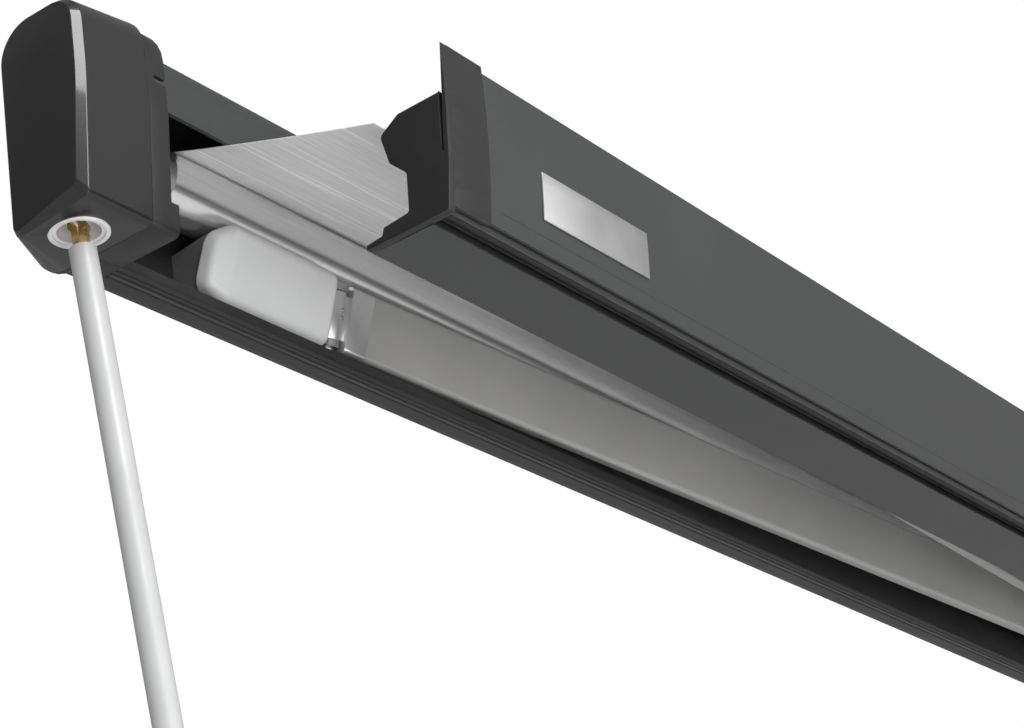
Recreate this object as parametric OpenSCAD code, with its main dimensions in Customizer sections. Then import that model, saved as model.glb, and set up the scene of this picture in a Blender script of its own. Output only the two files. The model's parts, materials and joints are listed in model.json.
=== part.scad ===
// Roll out awning in a wall case, with two folding arms, a lead rail and a crank.
// The case frame runs x along the awning from the gear end, y from the wall (outwards is
// negative) and z up from the case bottom. The arms work in a plane that leans outwards and down.

/* [Case] */
// Overall length over both end caps
case_length = 3500; // [3500:50:5000]
// Height of the case from its bottom plate to the top of the hood
case_height = 154; // [150:1:162]
// Depth of the case from the wall to the front of the hood
hood_depth = 93; // [90:1:98]
// Height of the lower edge of the hood's front
hood_edge = 101.2; // [101:0.2:112]
// Wall thickness of the case and hood extrusions
case_wall = 2; // [1.5:0.1:2.2]
// Depth of the case's bottom plate from the wall
floor_depth = 50; // [48:1:58]
// Height of the lip along the front of the bottom plate
lip_height = 9.5; // [6:0.5:9.5]
// Thickness of the brackets between the wall and the case
wall_gap = 3; // [2.5:0.1:4]

/* [End caps] */
// Length of each end cap
cap_length = 62.5; // [60:0.5:70]
// Depth of the end caps from the wall
cap_depth = 108.5; // [106:0.5:116]
// Height of the end caps at their seam
cap_height = 157.5; // [157:0.5:172]
// Width of the bevel round the end caps' outer faces
cap_bevel = 6; // [4:0.5:9]
// Wall thickness of the moulded caps and end brackets
cap_wall = 3; // [2:0.25:3.5]
// Width of each end bracket
bracket_width = 17.5; // [14:0.5:22]

/* [Roller] */
// Outer radius of the roller tube
tube_radius = 18; // [15:0.5:20]
// Wall thickness of the roller tube
tube_wall = 1.5; // [1:0.1:2.5]
// Outer radius of the canopy wound on the tube
roll_radius = 24; // [21:0.5:24.5]
// Distance of the roller's axis from the wall
roller_back = 31.5; // [30:0.5:34]
// Height of the roller's axis above the case bottom
roller_rise = 97; // [97:0.5:100]
// Distance from the end of the case to the fabric's edge
fabric_margin = 148; // [130:1:170]
// Thickness of the canopy fabric with its coating
fabric_thickness = 1; // [0.5:0.1:1.2]

/* [Arms] */
// Distance between the folded arms' elbows in the middle of the case
elbow_spacing = 88; // [84:2:700]
// Distance of the shoulder pivots from the ends of the case
shoulder_inset = 321; // [315:1:345]
// Thickness of the inner arms
inner_arm_thick = 17; // [15:0.5:17]
// Height of the inner arms
inner_arm_high = 50; // [46:1:50]
// Thickness of the outer arms
outer_arm_thick = 15; // [13:0.5:15]
// Height of the outer arms
outer_arm_high = 41; // [36:1:41]
// Wall thickness of the arm extrusions
arm_wall = 1.6; // [1.2:0.1:2.4]
// Radius of the elbow pins
elbow_pin_radius = 5; // [4:0.25:6]
// Radius of the shoulder and hand pins
small_pin_radius = 4; // [3:0.25:4.5]
// How far the lead rail stands out along its slope
opening = 204; // [150:1:600]
// Slope of the arms and the canopy in degrees
lean = 21.15; // [21:0.05:21.3]

/* [Lead rail] */
// Thickness of the rail's front panel
panel_wall = 2.6; // [2:0.1:3]
// Width of the strip that each rail end cap shows on the front
rail_cap_width = 43; // [30:1:60]
// How far the rail end caps stand in from the case ends
rail_inset = 110; // [106:1:115]
// Radius of the round seal under the rail
bead_radius = 4.7; // [4:0.1:5.2]
// Width of the blank plate on the rail's front
plate_width = 123; // [80:1:160]
// Height of the blank plate
plate_height = 33; // [20:1:40]

/* [Crank and gear] */
// Radius of the crank rod
rod_radius = 8.75; // [8.5:0.25:10]
// Length of the crank rod
rod_length = 1100; // [800:10:1400]
// Radius of the fixed collar round the gear eye
collar_radius = 19.5; // [17:0.5:21]
// Lean of the hanging crank in degrees
crank_lean = 4.57; // [0:0.01:12]
// Distance of the gear eye from the wall
eye_back = 66.5; // [66:0.5:68]
// Distance of the gear eye from the end of the case
eye_in = 33; // [32:0.5:34]
// Reach of the crank's handle from the rod
handle_reach = 170; // [120:5:220]

/* [Hidden] */

// Clearances
running = 0.05;      // radial, of a shaft in its bore
seat = 0.3;          // between pieces that lie on each other without a fit
swing = 2;           // between the folded inner and outer arms

// Wall fixing
hole_rise = 55;      // height of the wall holes above the case bottom
hole_radius = 3.3;
hole_spacing = 120;
wall_bracket_length = 200;
wall_bracket_inset = 600;

// End webs, on which the extrusions seat
web = 4;
web_in = cap_length + web;
bracket_in = cap_length + bracket_width;

// Colours
charcoal = [0.17, 0.175, 0.185];
black = [0.09, 0.09, 0.095];
white = [0.86, 0.86, 0.87];
silver = [0.62, 0.62, 0.61];
bright = [0.78, 0.78, 0.78];
canvas = [0.68, 0.69, 0.70];
brass = [0.72, 0.55, 0.28];
steel = [0.5, 0.5, 0.52];

// Arm plane: across is measured like y but along the slope, up square to it
arm_length = (case_length - elbow_spacing) / 2 - shoulder_inset;
shoulder_across = -20.55;
arm_mid_up = 58;
fold_step = (inner_arm_thick + outer_arm_thick) / 4 + swing / 2;
elbow_up_low = 37.5;
closed_turn = asin(fold_step / arm_length);
rest_turn = asin((opening / 2 + fold_step) / arm_length);
turn = rest_turn - closed_turn;
elbow_x = shoulder_inset + arm_length * cos(rest_turn);
elbow_across = shoulder_across - arm_length * sin(rest_turn);
hand_across = shoulder_across - 2 * fold_step;

// Plane helpers
function xy(p) = [p.x, p.y];
function unit(v) = v / norm(v);
function turned(v, a) = [v.x * cos(a) - v.y * sin(a), v.x * sin(a) + v.y * cos(a)];
function mix(a, b, t) = a + (b - a) * t;

// The corner p of an outline, between its neighbours a and b, as an arc of radius p.z
function corner(a, p, b, n) =
    let (r = len(p) > 2 ? p.z : 0,
         u = unit(xy(a) - xy(p)),
         w = unit(xy(b) - xy(p)),
         half = acos(u * w) / 2,
         middle = xy(p) + unit(u + w) * r / sin(half),
         start = xy(p) + u * r / tan(half) - middle,
         sweep = -sign(cross(u, w)) * (180 - 2 * half))
    r == 0 ? [xy(p)] : [for (k = [0:n]) middle + turned(start, sweep * k / n)];

// A closed outline, anticlockwise, whose corners carry their radius as a third number
function rounded(c, n = 6) =
    [for (i = [0:len(c) - 1])
        each corner(c[(i + len(c) - 1) % len(c)], c[i], c[(i + 1) % len(c)], n)];

// An open path, whose inner corners carry their radius as a third number
function path(c, n = 6) =
    [xy(c[0]),
     for (i = [1:len(c) - 2]) each corner(c[i - 1], c[i], c[i + 1], n),
     xy(c[len(c) - 1])];

// The point i of an open path, moved t to the left of the way it runs
function beside(p, i, t) =
    let (a = unit(p[i == 0 ? 1 : i] - p[i == 0 ? 0 : i - 1]),
         b = unit(p[i == len(p) - 1 ? i : i + 1] - p[i == len(p) - 1 ? i - 1 : i]),
         m = [-a.y, a.x],
         n = [-b.y, b.x])
    p[i] + (m + n) * t / (1 + m * n);

// A wall of thickness t on the left of an open path
function wall_along(p, t) = concat(p, [for (i = [len(p) - 1:-1:0]) beside(p, i, t)]);

// A closed anticlockwise outline drawn in by t
function inset(p, t) =
    let (q = concat([p[len(p) - 1]], p, [p[0]]))
    [for (i = [1:len(p)]) beside(q, i, t)];

// A gear's outline: straight-sided teeth of the given number between root and tip radius
function gear_points(teeth, root, tip, share) =
    let (pitch = 360 / teeth)
    [for (i = [0:teeth - 1])
        each [root * direction(pitch * (i - share)), tip * direction(pitch * (i - share / 2)),
              tip * direction(pitch * (i + share / 2)), root * direction(pitch * (i + share))]];
function direction(a) = [cos(a), sin(a)];

// Places the case frame so that the origin is at the middle wall fixing
module in_place()
    translate([-case_length / 2, 0, -hole_rise]) children();

// Extrudes a (y, z) section along x
module along(x0, x1)
    translate([x0, 0, 0]) rotate([90, 0, 90]) linear_extrude(x1 - x0) children();

// The same for a shape with a twin at the far end of the case
module far_end(mirrored = true)
    translate([mirrored ? case_length : 0, 0, 0]) mirror([mirrored ? 1 : 0, 0, 0]) children();

// The arm plane
module leaning() rotate([lean, 0, 0]) children();

// Turns the frame to a shoulder's arm at rest, with its origin on the shoulder pivot
module at_shoulder(right)
    far_end(right) leaning() translate([shoulder_inset, shoulder_across, 0])
        rotate([0, 0, -turn]) children();

// The same at the elbow, with the frame of the outer arm
module at_elbow(right)
    far_end(right) leaning() translate([elbow_x, elbow_across, 0]) rotate([0, 0, turn])
        children();

// The same at the elbow, with the frame of the inner arm
module at_elbow_inner(right)
    far_end(right) leaning() translate([elbow_x, elbow_across, 0]) rotate([0, 0, -turn])
        children();

// Moves a piece of the lead rail from its closed place to its place at rest
module rail_out()
    leaning() translate([0, -opening, 0]) rotate([-lean, 0, 0]) children();

// A rectangle with round corners in a (y, z) section
module soft_rectangle(y0, y1, z0, z1, r)
    polygon(rounded([[y0, z0, r], [y1, z0, r], [y1, z1, r], [y0, z1, r]], 4));

// CASE

hood_seam = 125;

// Outer lines of the case and the hood, with the wall on their left
case_path = path([[-floor_depth, lip_height], [-floor_depth, 0, 3], [-wall_gap, 0, 32],
                  [-wall_gap, hood_seam]]);
hood_path = path([[-wall_gap, hood_seam], [-wall_gap, case_height, 17],
                  [-hood_depth, case_height, 25], [-hood_depth, hood_edge]], 8);

module case_section() {
    polygon(wall_along(case_path, case_wall));
    translate([-floor_depth + 5, case_wall / 2]) square([1.5, 4]);
    inner = -wall_gap - case_wall;
    polygon([[inner - case_wall, hood_seam - 12], [inner + case_wall / 2, hood_seam - 12],
             [inner + case_wall / 2, hood_seam], [inner, hood_seam],
             [inner, hood_seam + 10], [inner - case_wall, hood_seam + 10]]);
}

module wall_holes()
    for (x = [wall_bracket_inset, case_length / 2, case_length - wall_bracket_inset],
         side = [-1, 1])
        translate([x + side * hole_spacing / 2, 1, hole_rise]) rotate([90, 0, 0])
            cylinder(r = hole_radius, h = 10, $fn = 32);

module case_profile()
    color(black) in_place() difference() {
        along(web_in, case_length - web_in) case_section();
        wall_holes();
    }

module hood_section() {
    polygon(wall_along(hood_path, case_wall));
    translate([-hood_depth, hood_edge]) square([case_wall + 1, 2]);
}

module hood()
    color(charcoal) in_place() along(web_in, case_length - web_in) hood_section();

module wall_brackets()
    color(silver) in_place() difference() {
        for (x = [wall_bracket_inset, case_length / 2, case_length - wall_bracket_inset])
            translate([x - wall_bracket_length / 2, -wall_gap, 34])
                cube([wall_bracket_length, wall_gap, 84]);
        wall_holes();
    }

// Plastic blocks on the case floor that keep the folded arms apart from it, each with its
// share of the arm's length and its width
rests = [[0.3675, 70], [0.8152, 12]];

module arm_rests()
    color(silver) in_place()
        for (right = [false, true], rest = rests) far_end(right)
            translate([shoulder_inset + rest.x * arm_length, 0, 0]) along(0, rest.y)
                polygon([[-43, case_wall], [-35, case_wall], [-36.5, 16.5], [-41.5, 16.5]]);

// END CAPS AND BRACKETS

// Outline of the caps and brackets at their seam, anticlockwise from the front foot
seam_outline = [[-cap_depth + 7, 0, 5], [-0.5, 0.5, 28], [-0.5, cap_height, 26],
                [-cap_depth, cap_height, 27], [-cap_depth, 88, 300]];
// Outline of the brackets behind the seam
bracket_outline = [[-cap_depth + 7, 0, 5], [-0.5, 0.5, 28], [-0.5, cap_height, 26],
                   [-cap_depth, cap_height, 33], [-cap_depth, 88, 300]];
// Outline just behind the bevel
shoulder_outline = [[-cap_depth + 7, 1, 5], [-39, -4, 5], [-39, cap_height - 11, 26],
                    [-cap_depth, cap_height - 10, 22], [-cap_depth, 88, 300]];
// Outline of the flat end face
face_outline = [[-cap_depth + 12, 9, 5], [-43, -4, 4], [-43, cap_height - 15, 26],
                [-cap_depth + 4.5, cap_height - 15, 16], [-cap_depth + 4.5, 88, 300]];

slice_thick = 0.3;

module slice(x, outline, t = 0)
    along(x, x + slice_thick) polygon(inset(rounded(outline, 7), t));

module cap_shell() {
    difference() {
        hull() {
            slice(0, face_outline);
            slice(cap_bevel, shoulder_outline);
            slice(cap_length - slice_thick, seam_outline);
        }
        hull() {
            slice(cap_wall, face_outline, cap_wall);
            slice(cap_bevel + cap_wall * 0.6, shoulder_outline, cap_wall);
            slice(cap_length, seam_outline, cap_wall);
        }
    }
}

module gear_end_cap()
    color(charcoal) in_place() difference() {
        cap_shell();
        translate([eye_in, -eye_back, -10]) cylinder(r = collar_radius + 0.2, h = 22, $fn = 64);
    }

module plain_end_cap()
    color(charcoal) in_place() far_end() cap_shell();

// An end bracket: a web that carries the roller and a rim that hides the ends of the case
module end_bracket() {
    outer = rounded(bracket_outline, 7);
    difference() {
        union() {
            along(cap_length, bracket_in) polygon(outer);
            intersection() {
                along(cap_length, bracket_in + 7) polygon(outer);
                translate([bracket_in - 1, -cap_depth - 1, -1])
                    cube([9, cap_depth - floor_depth, 23]);
            }
        }
        along(web_in, bracket_in + 8) {
            polygon(inset(outer, cap_wall));
            polygon(case_path);
            polygon(hood_path);
            translate([-wall_gap - 12, hood_seam - 35]) square([12, 50]);
        }
        translate([web_in, -floor_depth, -2]) cube([60, floor_depth + 1, 36]);
        translate([cap_length - 1, -roller_back, roller_rise]) rotate([0, 90, 0])
            cylinder(r = bearing_radius, h = web + 2, $fn = 48);
        translate([bracket_in - 11, -cap_depth - 1, cap_height - 52.5]) cube([12, cap_wall + 3, 5]);
        translate([cap_length - 1, -44, roller_rise - 60]) cube([web + 2, 34, 26]);
    }
}

module gear_bracket() color(charcoal) in_place() end_bracket();
module plain_bracket() color(charcoal) in_place() far_end() end_bracket();

// ROLLER

stub_radius = 7;
bearing_radius = 12;
tube_in = web_in + 22;

module round_x(x0, x1, r, sides = 64)
    translate([x0, 0, 0]) rotate([0, 90, 0]) cylinder(r = r, h = x1 - x0, $fn = sides);

module on_roller() in_place() translate([0, -roller_back, roller_rise]) children();

module roller_tube()
    color(silver) on_roller() difference() {
        round_x(tube_in, case_length - tube_in, tube_radius);
        round_x(tube_in - 1, case_length - tube_in + 1, tube_radius - tube_wall);
    }

module fabric_roll()
    color(canvas) on_roller() difference() {
        round_x(fabric_margin, case_length - fabric_margin, roll_radius, 96);
        round_x(fabric_margin - 1, case_length - fabric_margin + 1, tube_radius);
    }

module roller_plug(stub_start) {
    round_x(stub_start, tube_in, stub_radius, 48);
    round_x(tube_in - 4, tube_in, tube_radius);
    round_x(tube_in, tube_in + 30, tube_radius - tube_wall);
}

module roller_drive_plug() color(steel) on_roller() roller_plug(gear_x - 1);
module roller_idle_plug() color(steel) on_roller() far_end() roller_plug(cap_length);

module roller_bearings()
    color(black) on_roller() for (right = [false, true]) far_end(right) difference() {
        union() {
            round_x(cap_length, web_in, bearing_radius, 48);
            round_x(web_in, web_in + 4, bearing_radius + 2, 48);
        }
        round_x(cap_length - 1, web_in + 5, stub_radius + running, 48);
    }

// GEAR IN THE LEFT CAP

gear_teeth = 14;
gear_module = 1.8;
gear_pitch_radius = gear_teeth * gear_module / 2;
gear_x = cap_length - 11.7;
gear_width = 7;
shaft_radius = 4;
worm_gap = 20.5;
worm_tip = 7.9;
wheel_tip = worm_gap - worm_tip - seat;
wheel_teeth = 15;
transfer_back = eye_back - worm_gap;
transfer_drop = sqrt(pow(2 * gear_pitch_radius, 2) - pow(transfer_back - roller_back, 2));
transfer_rise = roller_rise - transfer_drop;
mesh_angle = atan2(transfer_drop, transfer_back - roller_back);

module spur(phase)
    rotate([0, 0, phase])
        polygon(gear_points(gear_teeth, gear_pitch_radius - 2, gear_pitch_radius + 1.3, 0.235));

module on_transfer() in_place() translate([0, -transfer_back, transfer_rise]) children();
module on_eye() in_place() translate([eye_in, -eye_back, 0]) children();

module roller_gear()
    color(steel) on_roller() difference() {
        along(gear_x, gear_x + gear_width) spur(mesh_angle + 180 + 180 / gear_teeth);
        round_x(gear_x - 1, gear_x + gear_width + 1, stub_radius, 48);
    }

module transfer_pinion()
    color(steel) on_transfer() difference() {
        along(gear_x, gear_x + gear_width) spur(mesh_angle);
        round_x(gear_x - 1, gear_x + gear_width + 1, shaft_radius, 48);
    }

module worm_wheel()
    color(brass) on_transfer() difference() {
        along(eye_in - 5, eye_in + 5)
            polygon(gear_points(wheel_teeth, wheel_tip - 2.4, wheel_tip, 0.27));
        round_x(eye_in - 6, eye_in + 6, shaft_radius, 48);
    }

module transfer_shaft()
    color(steel) on_transfer() round_x(frame_x, cap_length, shaft_radius, 48);

frame_x = eye_in - 11;
frame_low = 16;
frame_high = transfer_rise + 16;
frame_bar = 6;

// Casting that carries the gear shafts, bolted to the end bracket
module gear_frame()
    color(silver) in_place() difference() {
        union() {
            translate([cap_length - 4, -80, 14]) cube([4, 64, roller_rise + 2]);
            for (z = [frame_low, frame_high])
                translate([frame_x, -eye_back - 11.5, z])
                    cube([cap_length - frame_x, 23, frame_bar]);
            translate([frame_x, -eye_back + 6.5, frame_low])
                cube([3, eye_back - 6.5 - 34.5, frame_high - frame_low + frame_bar]);
        }
        translate([eye_in, -eye_back, frame_low - 1])
            cylinder(r = shaft_radius + running, h = frame_high, $fn = 48);
        translate([0, -transfer_back, transfer_rise])
            round_x(frame_x - 1, cap_length + 1, shaft_radius + running, 48);
        translate([0, -roller_back, roller_rise])
            round_x(cap_length - 5, cap_length + 1, stub_radius + running, 48);
    }

eye_radius = 16.4;
eye_bore = 14;
eye_low = -0.5;
pin_rise = 3;
pin_radius = 2.5;
crank_azimuth = 23.66;

module eye_collar()
    color(bright) on_eye() translate([0, 0, eye_low - 1.5]) difference() {
        cylinder(r = collar_radius, h = 8, $fn = 96);
        translate([0, 0, -1]) cylinder(r = eye_radius, h = 10, $fn = 96);
    }

module gear_eye()
    color(bright) on_eye() difference() {
        translate([0, 0, eye_low]) cylinder(r = eye_radius - running, h = 16, $fn = 96);
        translate([0, 0, eye_low - 1]) cylinder(r = eye_bore, h = 13, $fn = 96);
        translate([0, 0, pin_rise]) rotate([0, 0, crank_azimuth])
            round_x(-20, 20, pin_radius, 32);
    }

module eye_pin()
    color(steel) on_eye() translate([0, 0, pin_rise]) rotate([0, 0, crank_azimuth])
        round_x(-eye_radius + 0.5, eye_radius - 0.5, pin_radius, 32);

// Three-start worm on its upright shaft
module worm_shaft()
    color(steel) on_eye() {
        translate([0, 0, eye_low + 16])
            cylinder(r = shaft_radius, h = frame_high + frame_bar - eye_low - 16, $fn = 48);
        translate([0, 0, transfer_rise - 14]) linear_extrude(28, twist = -260, slices = 24)
            polygon(gear_points(3, 5.6, worm_tip, 0.24));
    }

// CRANK

hook_length = 32;
rod_wall = 1.25;
grip_radius = 13;
grip_length = 150;
bend_radius = 6;
bend_turn = 30;

// Hangs a piece in the crank's own frame: its origin on the eye's pin, down the rod along -z
module on_crank()
    on_eye() translate([0, 0, pin_rise]) rotate([0, 0, crank_azimuth])
        rotate([-crank_lean, 0, 0]) children();

rod_top = -16;
rod_end = rod_top - rod_length;

module crank_hook()
    color(brass) on_crank() difference() {
        union() {
            round_x(-4.5, 4.5, 6, 48);
            translate([0, 0, rod_top]) cylinder(r = 5.5, h = -rod_top, $fn = 48);
            translate([0, 0, rod_top - hook_length])
                cylinder(r = rod_radius - rod_wall, h = hook_length, $fn = 48);
        }
        round_x(-6, 6, pin_radius + running, 32);
    }

module crank_rod()
    color(white) on_crank() difference() {
        translate([0, 0, rod_end]) cylinder(r = rod_radius, h = rod_length, $fn = 64);
        translate([0, 0, rod_end - 1])
            cylinder(r = rod_radius - rod_wall, h = rod_length + 2, $fn = 64);
    }

module quarter_bend()
    rotate_extrude(angle = 90, $fn = 64) translate([bend_turn, 0]) circle(r = bend_radius, $fn = 32);

// Steel end of the crank: down, out away from the wall, and down again through the grip
module crank_bend()
    color(white) on_crank() translate([0, 0, rod_end]) {
        cylinder(r = rod_radius - rod_wall, h = 40, $fn = 48);
        translate([0, 0, -5]) cylinder(r = 11, h = 5, $fn = 48);
        translate([0, 0, -20]) cylinder(r = bend_radius, h = 15, $fn = 48);
        translate([0, -bend_turn, -20]) rotate([0, 90, 0]) quarter_bend();
        translate([0, -bend_turn, -20 - bend_turn]) rotate([90, 0, 0])
            cylinder(r = bend_radius, h = handle_reach - 2 * bend_turn, $fn = 48);
        translate([0, -handle_reach + bend_turn, -20 - 2 * bend_turn]) rotate([0, 90, 0])
            rotate([0, 0, 180]) quarter_bend();
        translate([0, -handle_reach, -20 - 2 * bend_turn - grip_length - 6])
            cylinder(r = bend_radius, h = grip_length + 6, $fn = 48);
        translate([0, -handle_reach, -20 - 2 * bend_turn - grip_length - 10])
            cylinder(r = 10, h = 6, $fn = 48);
    }

module grip(bore)
    difference() {
        cylinder(r = grip_radius, h = grip_length, $fn = 48);
        translate([0, 0, -1]) cylinder(r = bore + running, h = grip_length + 2, $fn = 48);
        for (k = [1:5])
            translate([0, 0, k * grip_length / 6]) rotate_extrude($fn = 48)
                translate([grip_radius + 1.2, 0]) circle(r = 2.4, $fn = 16);
    }

module crank_upper_grip()
    color(steel) on_crank() translate([0, 0, rod_end + seat]) grip(rod_radius);

module crank_lower_grip()
    color(steel) on_crank()
        translate([0, -handle_reach, rod_end - 20 - 2 * bend_turn - grip_length - 4 + seat])
            grip(bend_radius);

// ARMS, drawn folded along x from the pivot that carries them

inner_low = arm_mid_up - inner_arm_high / 2;
inner_high = arm_mid_up + inner_arm_high / 2;
outer_low = inner_high - 1 - outer_arm_high;
outer_high = inner_high - 1;
knuckle_start = 10;
knuckle_end = 32;
casting = 60;
fork_start = 14;
hand_start = 12;
hand_end = 45;

// Outline of an arm extrusion across its length, centred on zero
module arm_outline(thick, low, high, t = 0)
    soft_rectangle(-thick / 2 + t, thick / 2 - t, low + t, high - t, t > 0 ? 2.4 : 4);

module arm_tube(x0, x1, thick, low, high)
    difference() {
        along(x0, x1) arm_outline(thick, low, high);
        along(x0 - 1, x1 + 1) arm_outline(thick, low, high, arm_wall);
    }

module post(r, low, high) translate([0, 0, low]) cylinder(r = r, h = high - low, $fn = 48);

barrel_low = arm_mid_up - 17.5;
barrel_high = arm_mid_up + 18;

module arm_knuckle(right)
    color(bright) in_place() at_shoulder(right) difference() {
        union() {
            along(knuckle_start, knuckle_end) arm_outline(inner_arm_thick, inner_low, inner_high);
            along(knuckle_end, knuckle_end + 30)
                arm_outline(inner_arm_thick, inner_low, inner_high, arm_wall);
            post(8, barrel_low, barrel_high);
            translate([0, -6, barrel_low + 1.5]) cube([11, 12, barrel_high - barrel_low - 3]);
        }
        post(small_pin_radius + running, inner_low - 5, inner_high + 5);
    }

module inner_arm(right)
    color(silver) in_place() at_shoulder(right)
        arm_tube(knuckle_end, elbow_reach - casting, inner_arm_thick, inner_low, inner_high);

elbow_reach = arm_length * cos(closed_turn);

// Pull spring in the inner arm, with its cable to the elbow
module arm_spring(right)
    color(steel) in_place() at_shoulder(right) translate([0, 0, arm_mid_up]) {
        round_x(knuckle_end + 30, 0.5 * arm_length, 5.5, 32);
        round_x(0.5 * arm_length, elbow_reach - casting - 30, 1.5, 16);
    }

module elbow_fork(right)
    color(bright) in_place() at_elbow_inner(right) {
        middle = fold_step;
        difference() {
            union() {
                translate([0, middle, 0]) {
                    along(-casting, -fork_start)
                        arm_outline(inner_arm_thick, inner_low, inner_high);
                    along(-casting - 30, -casting)
                        arm_outline(inner_arm_thick, inner_low, inner_high, arm_wall);
                }
                for (z = [[elbow_up_low, elbow_up_low + 8], [inner_high - 10, inner_high - 2]]) {
                    post(10, z[0], z[1]);
                    translate([0, 0, z[0]]) linear_extrude(z[1] - z[0])
                        polygon([[-fork_start - 1, swing / 4], [0, -1], [0, 10],
                                 [-fork_start - 1, middle + inner_arm_thick / 2 - 4]]);
                }
            }
            post(elbow_pin_radius, inner_low - 5, inner_high + 5);
        }
    }

module elbow_pin(right)
    color(steel) in_place() at_elbow_inner(right)
        post(elbow_pin_radius, elbow_up_low, inner_high - 2);

module elbow_tongue(right)
    color(bright) in_place() at_elbow(right) {
        middle = -fold_step;
        difference() {
            union() {
                translate([0, middle, 0]) {
                    along(-casting, -fork_start)
                        arm_outline(outer_arm_thick, outer_low, outer_high);
                    along(-casting - 30, -casting)
                        arm_outline(outer_arm_thick, outer_low, outer_high, arm_wall);
                }
                post(10, elbow_up_low + 8 + seat, inner_high - 10 - seat);
                translate([0, 0, elbow_up_low + 8 + seat])
                    linear_extrude(inner_high - 18 - elbow_up_low - 2 * seat)
                        polygon([[-fork_start - 1, -swing / 2 - 1], [-fork_start - 1, middle - 4],
                                 [0, -10], [0, 1]]);
            }
            post(elbow_pin_radius + running, inner_low - 5, inner_high + 5);
        }
    }

module outer_arm(right)
    color(silver) in_place() at_elbow(right) translate([0, -fold_step, 0])
        arm_tube(-elbow_reach + hand_end, -casting, outer_arm_thick, outer_low, outer_high);

hand_low = outer_low + 7;
hand_high = outer_high - 7;
hand_radius = 7;

module hand_knuckle(right)
    color(bright) in_place() at_elbow(right) translate([-elbow_reach, -fold_step, 0])
        difference() {
            union() {
                along(hand_start, hand_end) arm_outline(outer_arm_thick, outer_low, outer_high);
                along(hand_end, hand_end + 30)
                    arm_outline(outer_arm_thick, outer_low, outer_high, arm_wall);
                post(hand_radius, hand_low, hand_high);
                translate([0, -5.5, hand_low + 1])
                    cube([hand_start + 1, 11, hand_high - hand_low - 2]);
            }
            post(small_pin_radius + (right ? 0.4 : running), outer_low - 5, outer_high + 5);
        }

// SHOULDERS, fixed in the case

cover_start = 189;
cover_end = shoulder_inset - 9;
cover_wall = 2.2;
cover_bevel = 10;
cover_outline = [[-31, 31, 8], [-12.3, 31], [-12.3, 82.6], [-16.5, 88], [-31, 88, 8]];
ear_gap = 0.5;

module shoulder_bracket(right)
    color(silver) in_place() far_end(right) difference() {
        union() {
            along(cover_start + 4, shoulder_inset + 9)
                polygon([[-wall_gap - case_wall, 38], [-14, 24], [-23.3, 27.6], [-38.6, 69.5],
                         [-wall_gap - case_wall, 66]]);
            leaning() {
                translate([cover_start + 12, -26, 37])
                    cube([shoulder_inset - cover_start - 33, 15, 43]);
                for (z = [[35, barrel_low - ear_gap], [barrel_high + ear_gap, 82]])
                    translate([0, 0, z[0]]) linear_extrude(z[1] - z[0]) {
                        translate([shoulder_inset, shoulder_across]) circle(r = 8.5, $fn = 48);
                        translate([shoulder_inset - 25, -27]) square([25, 16]);
                    }
            }
        }
        leaning() translate([shoulder_inset, shoulder_across, 30])
            cylinder(r = small_pin_radius, h = 56, $fn = 48);
    }

module shoulder_pins()
    color(steel) in_place() for (right = [false, true]) far_end(right)
        leaning() translate([shoulder_inset, shoulder_across, 0]) post(small_pin_radius, 35, 82);

module shoulder_cover(right)
    color(white) in_place() far_end(right) leaning() difference() {
        union() {
            hull() {
                slice(cover_start, cover_outline, 6);
                slice(cover_start + cover_bevel, cover_outline);
            }
            along(cover_start + cover_bevel, cover_end) polygon(rounded(cover_outline, 7));
        }
        along(cover_start + cover_bevel, cover_end + 1)
            polygon(inset(rounded(cover_outline, 7), cover_wall));
        translate([cover_start + cover_bevel, -18, 31 + cover_wall])
            cube([cover_end - cover_start, 12, 49]);
    }

// LEAD RAIL, drawn closed and then moved out

panel_top = [-cap_depth + 0.5, 128.4];
panel_foot = [-cap_depth + 12.3, 20];
panel_bulge = 2.07;
strip_proud = 0.8;

// Front face of the rail's panel at height z
function panel_y(z) =
    let (t = (panel_top.y - z) / (panel_top.y - panel_foot.y))
    mix(panel_top.x, panel_foot.x, t) - panel_bulge * 4 * t * (1 - t);

// The panel's front from height a down to height b, standing proud of it by out
function panel_front(a, b, out = 0, n = 10) =
    [for (k = [0:n]) let (z = mix(a, b, k / n)) [panel_y(z) - out, z]];

plate_low = 17.5;
plate_back = -34.5;
web_y = -76;
rail_start = rail_inset + 6;
panel_start = rail_inset + rail_cap_width;
groove = [-86.5, 27];
keder = [-76, 92];

module panel_strip(a, b, out)
    polygon(wall_along(panel_front(a, b, out), panel_wall + out));

module rail_section() {
    panel_strip(127, 24.5, 0);
    difference() {
        translate([-102.5, 72]) square([33.5, 25]);
        translate([-100, 75]) square([17.5, 19]);
        translate(keder) circle(r = 2.9, $fn = 24);
        translate([keder.x - 1.1, keder.y]) square([2.2, 6]);
    }
    translate([web_y, plate_low + 0.5]) square([2, 55]);
    polygon([[web_y + 1, 32], [web_y + 1, 34], [-99, 37], [-99, 35]]);
    difference() {
        translate(groove) circle(r = bead_radius + 1.7, $fn = 40);
        translate(groove) circle(r = bead_radius + 0.1, $fn = 40);
        translate(groove - [4, 10]) square([8, 10]);
    }
    translate([web_y - 4, plate_low]) square([plate_back - web_y + 4, 1.5]);
}

module lead_rail()
    color(charcoal) in_place() rail_out() difference() {
        along(rail_start, case_length - rail_start) rail_section();
        for (right = [false, true]) far_end(right)
            along(rail_start - 1, panel_start) panel_strip(132, 22, strip_proud);
    }

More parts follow.
